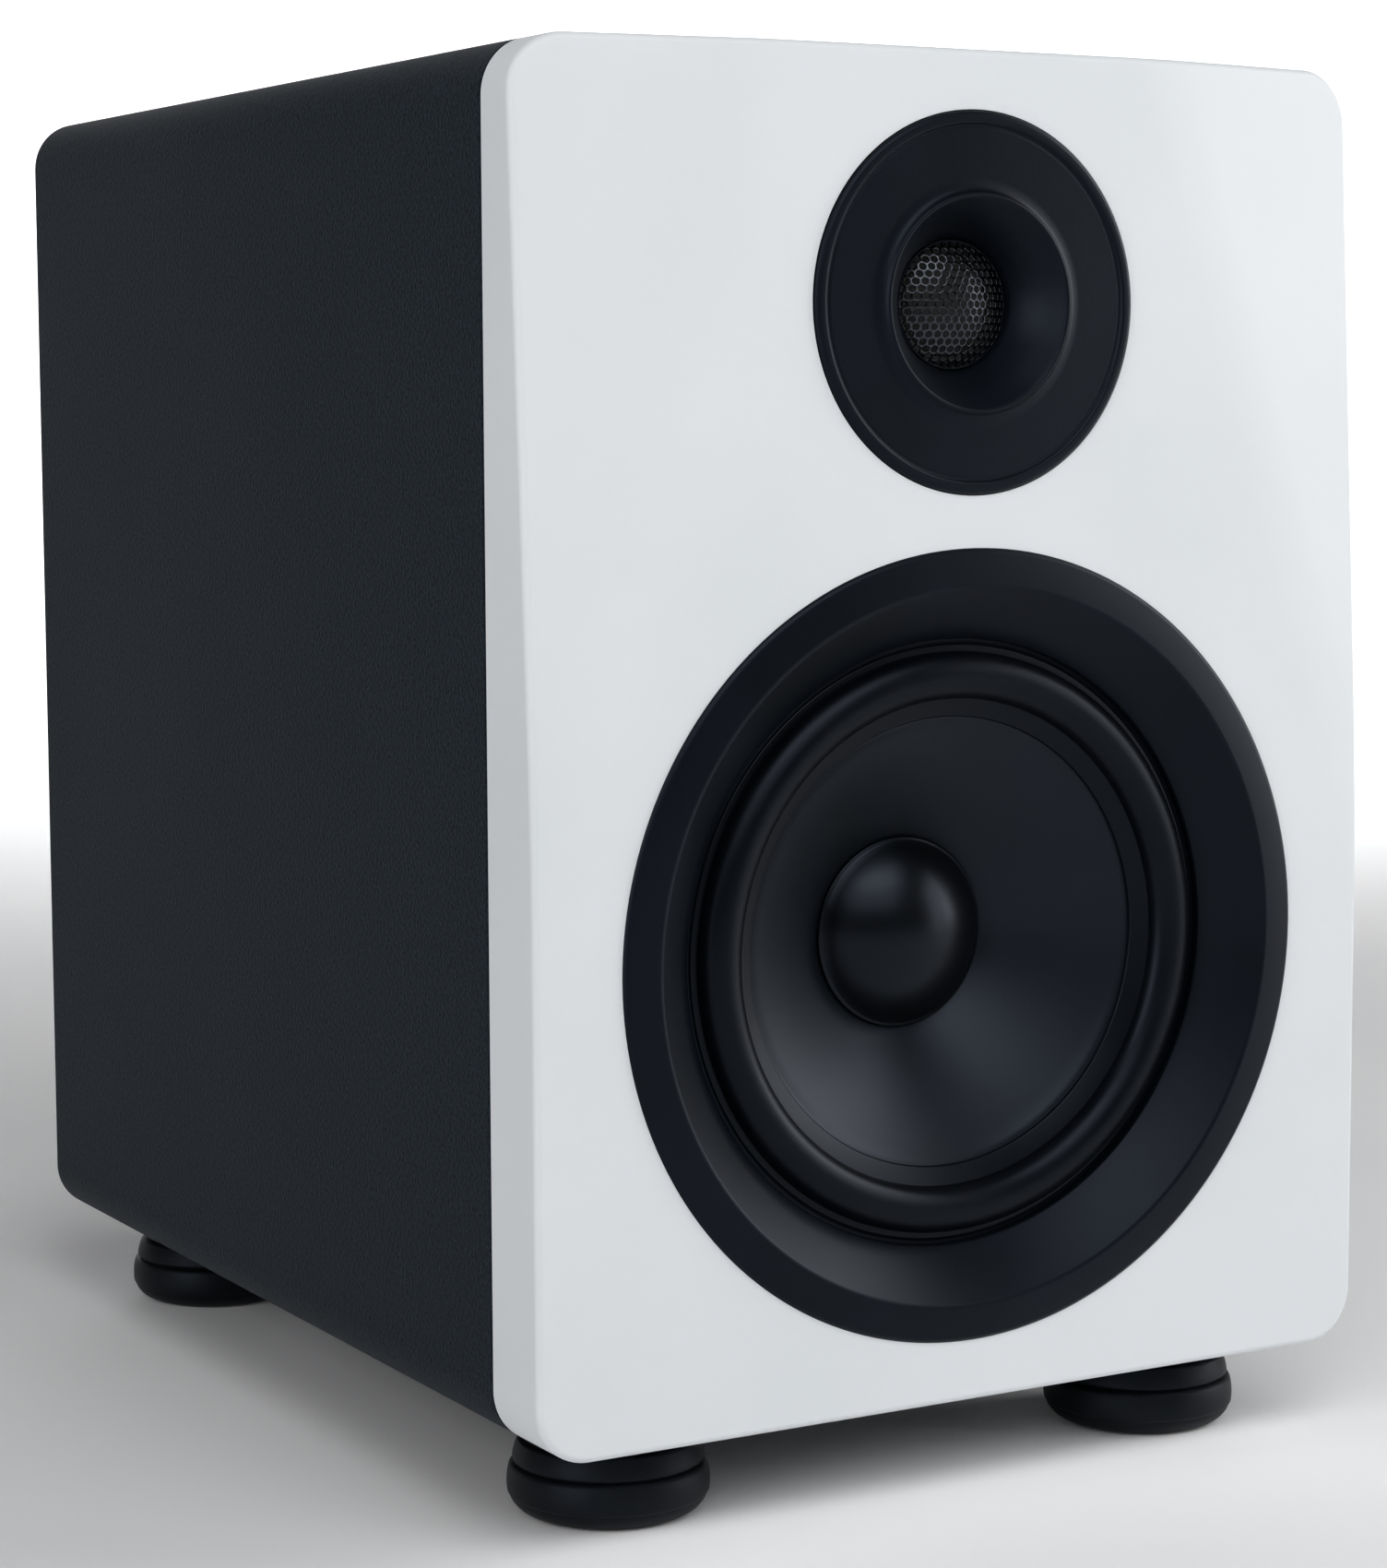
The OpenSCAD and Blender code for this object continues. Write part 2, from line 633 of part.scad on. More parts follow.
module red_post_stud() color("#d9b45a") on_floor(1) post_stud();
module black_post_stud() color("#d9b45a") on_floor(-1) post_stud();
module red_post_base() color("#b3161b") on_floor(1) post_base();
module black_post_base() color("#141416") on_floor(-1) post_base();
module red_post_washer() color("#d9b45a") on_floor(1) post_washer();
module black_post_washer() color("#d9b45a") on_floor(-1) post_washer();
module red_post_cap() color("#b3161b") on_floor(1) post_cap();
module black_post_cap() color("#141416") on_floor(-1) post_cap();

module post_nuts() color("#b9bcc0")
    for (side = [-1, 1]) on_floor(side) difference() {
        translate([0, 0, -cup_wall - 3.4]) cylinder(r = 4.3, h = 3.2, $fn = 6);
        translate([0, 0, -cup_wall - 4]) cylinder(r = tail_r + 0.02, h = 5, $fn = 48);
    }

// ---- crossover: its frame stands on the board's upper face ----

module on_board() translate([0, board_y, board_z + board_t]) children();

module board_corners() for (sx = [-1, 1], sy = [-1, 1])
    translate([sx * (board_w / 2 - 5), sy * (board_d / 2 - 5), 0]) children();

module crossover_board() color("#1f5b3a")
    on_board() difference() {
        translate([-board_w / 2, -board_d / 2, -board_t]) cube([board_w, board_d, board_t]);
        board_corners() translate([0, 0, -board_t - 1]) cylinder(r = 1.9, h = board_t + 2, $fn = 32);
    }

module air_coil(r_out, r_in, h) ring(r_out, r_in, touch, h);

module crossover_coils() color("#b5651d")
    on_board() union() {
        translate([-coil_x, 6, 0]) air_coil(17, 7, 14);
        translate([coil_x, -12, 14 + touch]) rotate([0, 90, 0]) translate([0, 0, -6])
            air_coil(14, 6, 12);
    }

module crossover_capacitors() color("#7a1f24")
    on_board() for (spot = [[18, 20, 9, 34], [-20, -22, 8, 30]])
        translate([spot[0], spot[1], spot[2] + touch]) rotate([0, 90, 0])
            cylinder(r = spot[2], h = spot[3], center = true, $fn = 48);

module crossover_resistor() color("#d8d2c4")
    on_board() translate([-6, -1, touch]) cube([22, 8, 8]);

module crossover_screws() color("#8e9296")
    on_board() board_corners() union() {
        cylinder(r1 = 3.2, r2 = 2.2, h = 1.6, $fn = 32);
        translate([0, 0, -board_t - 5 - board_bite + 0.5])
            cylinder(r = board_screw_r, h = board_t + 5 + board_bite, $fn = 32);
        ring(3, board_screw_r + 0.1, -board_t - 5 + eps, -board_t - eps);
    }

// ---- inside wiring ----

board_top = board_z + board_t + wire_r + touch;
module terminal_wires() color("#b02020")
    for (side = [-1, 1])
        wire([[side * post_gap / 2, floor_y - cup_wall - tail_len - 1, cup_z],
              [side * 14, floor_y - cup_wall - tail_len - 5, cup_z - 12],
              [side * 46, board_y + 26, board_top + 22], [side * 46, board_y + 20, board_top]], wire_r);

module woofer_wires() color("#303030")
    for (side = [-1, 1])
        wire([[40 + side * 3, board_y - 22, board_top], [40 + side * 3, board_y - 30, board_top + 22],
              [52 + side * 2, brace_y - 40, woofer_z - 40],
              [56, front_y - plate_h + 20, woofer_z - 12 + side * tab_x],
              [strip_r + strip_t + tab_len + 2, front_y - plate_h - 3, woofer_z + side * tab_x]],
             wire_r);

module tweeter_wires() color("#a06020")
    for (side = [-1, 1])
        wire([[-40 + side * 3, board_y - 22, board_top], [-40 + side * 3, board_y - 30, board_top + 22],
              [-50 + side * 2, brace_y - 40, woofer_z + 20],
              [-40 + side * 2, front_y + 60, tweeter_z - 40],
              [side * 8, front_y + 42, tweeter_z]], wire_r);

// ---- feet ----

foot_profile = [
    [foot_pocket_r, 0], [foot_r - 5, 0], [foot_r - 2.4, 0.9], [foot_r - 0.9, 2.6],
    [foot_r - 0.4, 3.6], [foot_r - 0.65, 3.9], [foot_r - 0.2, 4.3], [foot_r, 6.4],
    [foot_r - 0.25, 8.6], [foot_r - 0.9, 9.8], [foot_r - 2, 10.2], [foot_r - 1.2, 10.7],
    [foot_r - 1.6, 13.2], [foot_r - 2.5, 14.8], [foot_r - 3.7, 15.2], [foot_r - 2.9, 15.7],
    [foot_r - 3.8, 18.2], [foot_r - 5.4, foot_h], [foot_hole_r, foot_h],
    [foot_hole_r, foot_pocket_h], [foot_pocket_r, foot_pocket_h]
];
module foot(x, y) translate([x, y, 0]) turned(foot_profile);
module foot_spots() for (x = [-foot_x, foot_x], y = [foot_front_y, foot_back_y])
    translate([x, y, 0]) children();

module foot_front_left() color("#141518") foot(-foot_x, foot_front_y);
module foot_front_right() color("#141518") foot(foot_x, foot_front_y);
module foot_back_left() color("#141518") foot(-foot_x, foot_back_y);
module foot_back_right() color("#141518") foot(foot_x, foot_back_y);

module foot_screws() color("#8e9296")
    foot_spots() union() {
        translate([0, 0, foot_pocket_h - 1.6]) cylinder(r = 5, h = 1.6, $fn = 32);
        translate([0, 0, foot_pocket_h - 3.4]) cylinder(r1 = 2.6, r2 = 3.6, h = 1.8 + eps, $fn = 32);
        translate([0, 0, foot_pocket_h - eps])
            cylinder(r = foot_screw_r, h = foot_h - foot_pocket_h + foot_bite, $fn = 32);
    }

cabinet_shell();
front_baffle();
back_panel();
cabinet_brace();
baffle_dowels();
lining_left();
lining_right();
lining_top();
woofer_trim_ring();
woofer_basket();
woofer_gasket();
woofer_screws();
woofer_top_plate();
woofer_magnet();
woofer_pole_piece();
woofer_terminal_strip();
woofer_tinsel_leads();
woofer_surround();
woofer_spider();
woofer_cone();
woofer_dust_cap();
woofer_coil_former();
woofer_voice_coil();
tweeter_faceplate();
tweeter_mesh();
tweeter_surround();
tweeter_dome();
tweeter_voice_coil();
tweeter_top_plate();
tweeter_magnet();
tweeter_pole_piece();
tweeter_rear_chamber();
tweeter_screws();
port_tube();
terminal_cup();
cup_gasket();
cup_screws();
red_post_stud();
black_post_stud();
red_post_base();
black_post_base();
red_post_washer();
black_post_washer();
red_post_cap();
black_post_cap();
post_nuts();
crossover_board();
crossover_coils();
crossover_capacitors();
crossover_resistor();
crossover_screws();
terminal_wires();
woofer_wires();
tweeter_wires();
foot_front_left();
foot_front_right();
foot_back_left();
foot_back_right();
foot_screws();
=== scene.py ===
# %% [markdown]
# A bookshelf speaker, finished around a fixed frame.
# The frame is the working model: every body, joint and fastener, already in place and in
# metres. This file leaves the hidden works as they are and only gives them a finish, and it
# makes a new mesh for every surface that shows. Lengths are written in millimetres, as on a
# drawing, and MM turns them to metres when a mesh is placed.

# %% Load the frame
import bpy
import bmesh
import math
from mathutils import Matrix, Vector


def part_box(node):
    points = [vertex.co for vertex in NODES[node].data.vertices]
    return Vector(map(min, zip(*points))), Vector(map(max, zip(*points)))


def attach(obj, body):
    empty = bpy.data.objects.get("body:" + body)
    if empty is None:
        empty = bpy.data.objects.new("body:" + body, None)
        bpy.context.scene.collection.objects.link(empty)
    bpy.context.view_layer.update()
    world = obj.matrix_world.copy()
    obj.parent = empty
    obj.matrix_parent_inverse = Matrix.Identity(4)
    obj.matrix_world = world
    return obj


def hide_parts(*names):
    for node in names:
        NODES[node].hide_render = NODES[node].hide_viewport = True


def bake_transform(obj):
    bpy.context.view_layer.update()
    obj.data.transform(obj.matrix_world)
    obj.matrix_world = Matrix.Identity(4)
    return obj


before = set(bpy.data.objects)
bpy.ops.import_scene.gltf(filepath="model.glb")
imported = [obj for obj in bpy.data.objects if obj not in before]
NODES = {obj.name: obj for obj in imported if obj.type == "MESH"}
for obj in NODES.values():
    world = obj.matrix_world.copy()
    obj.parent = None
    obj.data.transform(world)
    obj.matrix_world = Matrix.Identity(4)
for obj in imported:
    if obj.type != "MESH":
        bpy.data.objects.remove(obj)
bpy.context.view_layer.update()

MM = 0.001

# %% [markdown]
# Where things are.
# The cabinet's planes and the drivers' axes are read from the boxes of the frame's own nodes,
# so that a piece can't sit off the works behind it. Only the profiles are typed in, and they
# are measured from those planes and axes. Each driver gets a placing matrix that turns
# "height in front of the baffle" into the world's -Y, and each fitting on the back one that
# turns "height behind the back" into +Y.

# %% Planes and axes
def low(node):
    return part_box(node)[0] / MM


def high(node):
    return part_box(node)[1] / MM


def middle(node):
    return (low(node) + high(node)) / 2


FRONT_Y = low("front_baffle").y
JOINT_Y = low("cabinet_shell").y
BACK_Y = high("back_panel").y
BASE_Z = low("cabinet_shell").z
TOP_Z = high("cabinet_shell").z
WIDTH = high("cabinet_shell").x - low("cabinet_shell").x
HEIGHT = TOP_Z - BASE_Z
EDGE_R = 11.5


def facing_front(node):
    spot = middle(node)
    return Matrix.Translation((spot.x, FRONT_Y, spot.z)) @ Matrix.Rotation(math.pi / 2, 4, "X")


def facing_back(x, y, z):
    return Matrix.Translation((x, y, z)) @ Matrix.Rotation(-math.pi / 2, 4, "X")


AT_WOOFER = facing_front("woofer_trim_ring")
AT_TWEETER = facing_front("tweeter_faceplate")
AT_PORT = facing_back(middle("port_tube").x, BACK_Y, middle("port_tube").z)
AT_CUP = facing_back(middle("terminal_cup").x, BACK_Y, middle("terminal_cup").z)
print("front", FRONT_Y, "joint", JOINT_Y, "back", BACK_Y, "width", WIDTH, "height", HEIGHT)

# %% [markdown]
# The camera stands to the left of the speaker, a little above its middle, about three
# quarters of a metre away, and looks slightly down. The lens is given with Blender's usual
# 36 mm sensor. It comes first so that every later look at the scene uses it.

# %% Camera
CAMERA_AT = (-410.72, JOINT_Y - 624.71, BASE_Z + 204.43)
LOOKS_AT = (-53.985, JOINT_Y, BASE_Z + 128.666)
LENS_MM = 83.39
ROLL_DEG = -0.2235
SENSOR_MM = 36
NEAREST_M = 0.05
FARTHEST_M = 20


def add_camera():
    data = bpy.data.cameras.new("camera")
    data.lens = LENS_MM
    data.sensor_width = SENSOR_MM
    data.clip_start = NEAREST_M
    data.clip_end = FARTHEST_M
    camera = bpy.data.objects.new("camera", data)
    bpy.context.scene.collection.objects.link(camera)
    spot = Vector(CAMERA_AT) * MM
    turn = (Vector(LOOKS_AT) * MM - spot).to_track_quat("-Z", "Y").to_matrix().to_4x4()
    roll = Matrix.Rotation(math.radians(ROLL_DEG), 4, "Z")
    camera.matrix_world = Matrix.Translation(spot) @ turn @ roll
    bpy.context.scene.camera = camera
    return camera


camera = add_camera()
print("camera at", [round(v, 3) for v in camera.location])

# %% [markdown]
# Colours.
# Finishes are written as the hex codes of a colour chart. Those are sRGB, which is curved to
# suit the eye, while Blender's sockets want linear light. One function turns the first into
# the second.

# %% Hex to linear colour
def srgb(code):
    """A hex colour as linear RGBA."""
    parts = [int(code[i:i + 2], 16) / 255 for i in (0, 2, 4)]
    linear = [p / 12.92 if p <= 0.04045 else ((p + 0.055) / 1.055) ** 2.4 for p in parts]
    return (*linear, 1.0)


print("mid grey in linear light:", round(srgb("808080")[0], 3))

# %% [markdown]
# Studio light.
# A satin black object is drawn by what it reflects, so the lamps are large soft boxes and
# the room round them is nearly dark. Small lamps would only put hot spots on the black
# parts. The key stands far round to the right at the speaker's own height and runs a bright
# line down each moulding, and a narrow strip next to it sharpens that line. One box overhead
# and one in front light the baffle, and one on the left lights the cabinet's side.

# %% Soft boxes
def new_lamp(name, size, watts):
    """A rectangular lamp of (width, height) in metres, not placed yet."""
    data = bpy.data.lights.new(name, "AREA")
    data.shape = "RECTANGLE"
    data.size, data.size_y = size
    data.energy = watts
    lamp = bpy.data.objects.new(name, data)
    bpy.context.scene.collection.objects.link(lamp)
    return lamp


def soft_box(name, azimuth, elevation, distance, size, watts):
    """A lamp some metres off, aimed at the baffle's middle. Azimuth 90 is the speaker's right."""
    lamp = new_lamp(name, size, watts)
    a, e = math.radians(azimuth), math.radians(elevation)
    aim = Vector((0, FRONT_Y * MM, (BASE_Z + HEIGHT / 2) * MM))
    out = Vector((math.sin(a) * math.cos(e), -math.cos(a) * math.cos(e), math.sin(e)))
    lamp.matrix_world = (Matrix.Translation(aim + out * distance)
                         @ (-out).to_track_quat("-Z", "Y").to_matrix().to_4x4())


soft_box("key_light", azimuth=74, elevation=17, distance=1.6, size=(0.7, 1.1), watts=13)
soft_box("strip_light", azimuth=50, elevation=12, distance=1.5, size=(0.16, 0.9), watts=2.5)
soft_box("top_light", azimuth=-6, elevation=54, distance=1.6, size=(1.2, 0.7), watts=7)
soft_box("front_light", azimuth=-20, elevation=38, distance=1.8, size=(1.7, 1.1), watts=10)
soft_box("left_light", azimuth=-72, elevation=16, distance=2.2, size=(0.9, 1.6), watts=17)
print("soft boxes:", len(bpy.data.lights))

# %% [markdown]
# The paper and the room.
# One more lamp, high on the right and behind the speaker, points down and back to whiten the
# paper. A very faint glow from every side keeps the deepest corners from going dead black.
# The Standard view shows each colour as it is, where the default one would grey the white
# lacquer.

# %% Paper light, room and view
PAPER_LAMP_AT_M = (1.5, 0.9, 1.6)
PAPER_LAMP_TILT = math.radians(40)
PAPER_LAMP_SPREAD = math.radians(120)
ROOM_GLOW = 0.025

paper = new_lamp("paper_light", (1.6, 0.5), 45)
paper.matrix_world = Matrix.Translation(PAPER_LAMP_AT_M) @ Matrix.Rotation(PAPER_LAMP_TILT, 4, "X")
paper.data.spread = PAPER_LAMP_SPREAD

world = bpy.data.worlds.new("dim_room")
bpy.context.scene.world = world
world.use_nodes = True
background = world.node_tree.nodes["Background"]
background.inputs["Color"].default_value = srgb("ffffff")
background.inputs["Strength"].default_value = ROOM_GLOW
bpy.context.scene.view_settings.view_transform = "Standard"
print("lamps:", len(bpy.data.lights), "room glow:", ROOM_GLOW)

# %% [markdown]
# One function for every material node.
# add() makes a node, sets its sockets and properties, and wires any socket whose value is
# itself a socket. Each finish below is then a short list of what the surface is made of.

# %% Adding nodes
def add(tree, kind, sockets=None, **properties):
    node = tree.nodes.new(kind)
    for key, value in properties.items():
        setattr(node, key, value)
    for key, value in (sockets or {}).items():
        if isinstance(value, bpy.types.NodeSocket):
            tree.links.new(value, node.inputs[key])
        else:
            node.inputs[key].default_value = value
    return node


def start(name):
    """A new material with only its output, and the socket of its object coordinates."""
    material = bpy.data.materials.new(name)
    material.use_nodes = True
    tree = material.node_tree
    tree.nodes.clear()
    place = add(tree, "ShaderNodeTexCoord").outputs["Object"]
    return material, tree, place


def end(tree, shader):
    add(tree, "ShaderNodeOutputMaterial", {"Surface": shader.outputs[0]})

# %% [markdown]
# Patterns.
# Grain, tone and relief all come from noise whose size is a real length. Noise runs from 0 to
# 1, so shades() turns it to a colour, spread() to a range of roughness and bump() to relief.

# %% Patterns from real sizes
def grain(tree, place, size_mm, detail=2.0, roughness=0.5):
    """Noise whose lumps are about size_mm across."""
    return add(tree, "ShaderNodeTexNoise", {
        "Vector": place, "Scale": 1 / (size_mm * MM), "Detail": detail, "Roughness": roughness})


def shades(tree, factor, dark, light, start_at=0.35, end_at=0.65):
    """A colour that runs from dark to light as the factor rises."""
    ramp = add(tree, "ShaderNodeValToRGB", {"Fac": factor})
    ramp.color_ramp.elements[0].position = start_at
    ramp.color_ramp.elements[0].color = srgb(dark)
    ramp.color_ramp.elements[1].position = end_at
    ramp.color_ramp.elements[1].color = srgb(light)
    return ramp.outputs["Color"]


def spread(tree, factor, least, most):
    """A factor from 0 to 1 turned to a number from least to most."""
    return add(tree, "ShaderNodeMapRange", {
        "Value": factor, "To Min": least, "To Max": most}).outputs["Result"]


def bump(tree, height, depth_mm):
    """A normal that shows the height, from 0 to 1, as relief this deep."""
    return add(tree, "ShaderNodeBump", {
        "Height": height, "Distance": depth_mm * MM, "Strength": 1.0}).outputs["Normal"]

# %% [markdown]
# Two recipes cover most finishes.
# A moulding or a sprayed coat is never quite even: its tone and gloss drift over a few
# centimetres, and its skin has a fine texture. A metal takes its colour from what it
# reflects, and polishing leaves it slightly uneven. Black plastics and rubbers reflect with
# a cool cast, and COOL is that cast.

# %% Moulded and metal
COOL = "d8e7ff"
GLOSS_DRIFT = 0.04
POLISH_LEAST = 0.85
POLISH_MOST = 1.2


def moulded(name, dark, light, lump_mm, depth_mm, rough, patch_mm=25, level=0.5, tint="ffffff"):
    """A moulded or sprayed surface: fine texture in relief, and a slow drift of tone."""
    material, tree, place = start(name)
    fine = grain(tree, place, lump_mm)
    slow = grain(tree, place, patch_mm, detail=3.0)
    shader = add(tree, "ShaderNodeBsdfPrincipled", {
        "Base Color": shades(tree, slow.outputs["Fac"], dark, light),
        "Roughness": spread(tree, slow.outputs["Fac"], rough - GLOSS_DRIFT, rough + GLOSS_DRIFT),
        "Specular IOR Level": level, "Specular Tint": srgb(tint),
        "Normal": bump(tree, fine.outputs["Fac"], depth_mm)})
    end(tree, shader)
    return material


def metal(name, dark, light, rough, scratch_mm=0.4, depth_mm=0.004):
    """Bare or plated metal: fully metallic, with a faint uneven polish."""
    material, tree, place = start(name)
    fine = grain(tree, place, scratch_mm, detail=4.0)
    shader = add(tree, "ShaderNodeBsdfPrincipled", {
        "Base Color": shades(tree, fine.outputs["Fac"], dark, light),
        "Metallic": 1.0,
        "Roughness": spread(tree, fine.outputs["Fac"], rough * POLISH_LEAST, rough * POLISH_MOST),
        "Normal": bump(tree, fine.outputs["Fac"], depth_mm)})
    end(tree, shader)
    return material

# %% [markdown]
# White lacquer.
# The baffle is board, sprayed white and flatted back. It gives the eye a smooth satin white
# with the faintest orange peel in its reflections. One flat white would look like paper, so
# the tone, the gloss and the peel all vary a little.

# %% Lacquer
def lacquer_white():
    material, tree, place = start("white_satin_lacquer_sprayed")
    peel = grain(tree, place, size_mm=3.5)
    slow = grain(tree, place, size_mm=60)
    shader = add(tree, "ShaderNodeBsdfPrincipled", {
        "Base Color": shades(tree, slow.outputs["Fac"], "d9dde0", "dee1e4", 0.3, 0.7),
        "Roughness": spread(tree, slow.outputs["Fac"], least=0.46, most=0.52),
        "Specular IOR Level": 0.35,
        "Normal": bump(tree, peel.outputs["Fac"], depth_mm=0.012)})
    end(tree, shader)
    return material


LACQUER = lacquer_white()
print("finish:", LACQUER.name)

# %% [markdown]
# Foil.
# The cabinet is board wrapped in PVC foil, which a hot roller embosses with small hollows. It
# gives the eye a dark matt skin with a fine sparkle, where the raised edges between the
# hollows catch the light. Part of that sparkle is painted: the specks that stand raised in
# the relief are also painted lighter in the colour, as painted highlights. Real hollows are
# about half a millimetre across. They are drawn half as large again, because finer ones
# would blur to a flat grey.

# %% Foil
HOLLOW_MM = 0.75
EMBOSS_MM = 0.14


def vinyl_wrap():
    material, tree, place = start("black_pvc_foil_embossed")
    hollows = add(tree, "ShaderNodeTexVoronoi", {
        "Vector": place, "Scale": 1 / (HOLLOW_MM * MM), "Randomness": 1.0}, feature="SMOOTH_F1")
    # Painted highlight: these specks are raised in the relief and also painted lighter in the
    # colour.
    raised_and_painted_speck = grain(tree, place, size_mm=0.8, detail=3.0, roughness=0.7)
    slow = grain(tree, place, size_mm=70)
    raised = add(tree, "ShaderNodeMath", {
        0: hollows.outputs["Distance"], 1: raised_and_painted_speck.outputs["Fac"]}, operation="ADD")
    shader = add(tree, "ShaderNodeBsdfPrincipled", {
        # Painted highlight: lighter colour on the raised specks.
        "Base Color": shades(tree, raised_and_painted_speck.outputs["Fac"], "05090c", "1d2730", 0.4, 0.62),
        "Roughness": spread(tree, slow.outputs["Fac"], least=0.54, most=0.60),
        "Specular IOR Level": 0.13, "Specular Tint": srgb(COOL),
        "Normal": bump(tree, raised.outputs["Value"], EMBOSS_MM)})
    end(tree, shader)
    return material


VINYL = vinyl_wrap()
print("finish:", VINYL.name)

# %% [markdown]
# Cone plastic.
# The cone is mineral-filled polypropylene, pressed from sheet. It gives the eye a dark satin
# that carries one broad fan of light, softened by a skin too fine to see as grain.

# %% Cone plastic
def cone_plastic():
    material, tree, place = start("filled_polypropylene_pressed")
    fine = grain(tree, place, size_mm=0.35, detail=3.0)
    slow = grain(tree, place, size_mm=18, detail=3.0)
    shader = add(tree, "ShaderNodeBsdfPrincipled", {
        "Base Color": shades(tree, slow.outputs["Fac"], "070a0e", "0a0e13"),
        "Specular IOR Level": 0.27, "Specular Tint": srgb(COOL),
        "Roughness": spread(tree, fine.outputs["Fac"], least=0.36, most=0.44),
        "Normal": bump(tree, fine.outputs["Fac"], depth_mm=0.02)})
    end(tree, shader)
    return material


CONE = cone_plastic()
print("finish:", CONE.name)

# %% [markdown]
# Cloth.
# The tweeter's dome is coated silk and the spider is cotton dipped in resin. Both are woven,
# so two crossed waves of thread give them their tone and relief. The silk is the dark ground
# that shows through the mesh, and the spider shows only with the works taken apart. Blender's
# bands repeat every 0.31 / Scale, so a scale of 0.16 over the thread's width gives one thread
# and one gap.

# %% Cloth
BAND_SCALE = 0.16
RELIEF_PER_THREAD = 0.3


def woven(name, dark, light, thread_mm, rough=0.85):
    """Cloth: two crossed waves of thread."""
    material, tree, place = start(name)
    scale = BAND_SCALE / (thread_mm * MM)
    across = add(tree, "ShaderNodeMapping", {"Vector": place, "Rotation": (0, math.pi / 2, 0)})
    warp = add(tree, "ShaderNodeTexWave", {"Vector": place, "Scale": scale},
               bands_direction="X")
    weft = add(tree, "ShaderNodeTexWave", {"Vector": across.outputs["Vector"], "Scale": scale},
               bands_direction="X")
    both = add(tree, "ShaderNodeMath", {0: warp.outputs["Fac"], 1: weft.outputs["Fac"]},
               operation="MAXIMUM")
    shader = add(tree, "ShaderNodeBsdfPrincipled", {
        "Base Color": shades(tree, both.outputs["Value"], dark, light, 0.1, 0.9),
        "Roughness": rough, "Sheen Weight": 0.2,
        "Normal": bump(tree, both.outputs["Value"], thread_mm * RELIEF_PER_THREAD)})
    end(tree, shader)
    return material


SILK = woven("coated_silk_dome", "0b0c0e", "15161a", thread_mm=0.3, rough=0.6)
SPIDER = woven("resin_dipped_cotton_pressed", "a67f3a", "c9a25a", thread_mm=0.6)
print("cloths:", SILK.name, SPIDER.name)

# %% [markdown]
# Plastics and rubber.
# All but the red cap are black or nearly so, and the eye tells them apart by gloss and skin.
# So each differs in how rough it is, how much it reflects and how large its lumps are.

# %% Plastics and rubber
# Spark-eroded ABS scatters light into a soft grey sheen.
ABS = moulded("black_abs_spark_textured", "070a0f", "0a0e14", lump_mm=0.3, depth_mm=0.02,
              rough=0.38, level=0.15, tint=COOL)
# Butyl rubber is smoother and greasier, so a clean line of light runs along the roll.
BUTYL = moulded("black_butyl_rubber_moulded", "04060a", "06080c", lump_mm=1.2, depth_mm=0.008,
                rough=0.36, patch_mm=12, level=0.16, tint=COOL)
# Plastic pressed against polished steel is nearly black, with one round highlight.
CAP = moulded("dust_cap_polypropylene_smooth", "030406", "040609", lump_mm=0.6, depth_mm=0.006,
              rough=0.33, patch_mm=15, level=0.25, tint=COOL)
# Rubber from a plain steel mould is dull, and its tiers show as soft bands.
FOOT = moulded("black_rubber_compression_moulded", "050607", "090a0c", lump_mm=0.5,
               depth_mm=0.03, rough=0.52, patch_mm=9, level=0.2, tint=COOL)
# Cut foam is all open cells and has no gloss.
FOAM = moulded("black_foam_gasket_cut", "17181a", "242527", lump_mm=0.8, depth_mm=0.25,
               rough=0.9, patch_mm=6)
# An extruded tube is a plain satin black.
PORT = moulded("black_abs_tube_extruded", "101114", "17191c", lump_mm=0.4, depth_mm=0.02,
               rough=0.42)
# Powder coat is a dark satin grey with a slight orange peel.
COATED = moulded("black_powder_coat_baked", "17181a", "202225", lump_mm=0.5, depth_mm=0.04,
                 rough=0.5, patch_mm=30)
# Polycarbonate comes out of the mould glossy, so the flutes of the caps catch the light.
RED = moulded("red_polycarbonate_moulded", "9c1015", "b3151b", lump_mm=1.0, depth_mm=0.006,
              rough=0.28, patch_mm=9, level=0.6)
POST_BLACK = moulded("black_polycarbonate_moulded", "0c0c0e", "121214", lump_mm=1.0,
                     depth_mm=0.006, rough=0.28, patch_mm=9, level=0.6)
print("materials so far:", len(bpy.data.materials))

# %% [markdown]
# Metals.
# A metal has no colour of its own under the shine, so each is given by the tint and the
# sharpness of its reflections.

# %% Metals
# Black nickel over pierced steel is dark, and the rims of the holes glint.
MESH = metal("black_nickel_plated_steel_pierced", "34373b", "44484d", rough=0.13)
# Passivated zinc is a flat light grey.
ZINC = metal("zinc_plated_steel_passivated", "a9adb2", "c3c6c9", rough=0.32)
# A flash of gold over turned brass is warm and sharp.
GILT = metal("gold_flashed_brass_turned", "d9ab4e", "efcb7c", rough=0.22)
# Enamelled copper wire is warm, and its turns break up the reflection.
COPPER = metal("enamelled_copper_wound", "a2572c", "c4743f", rough=0.3, scratch_mm=0.5,
               depth_mm=0.03)
print("materials so far:", len(bpy.data.materials))

# %% [markdown]
# The works.
# These show only with the cabinet open. They still get the tone and skin of what they are,
# because a part in a library may be shown cut away.

# %% Materials of the works
# Sintered ferrite, ground flat, is a dull dark grey.
FERRITE = moulded("ferrite_sintered_ground", "2c2d30", "37383b", lump_mm=0.6, depth_mm=0.03,
                  rough=0.6)
# Sawn fibreboard is brown and furry.
BOARD = moulded("raw_mdf_sawn", "8a6a46", "a3805a", lump_mm=0.6, depth_mm=0.08, rough=0.85)
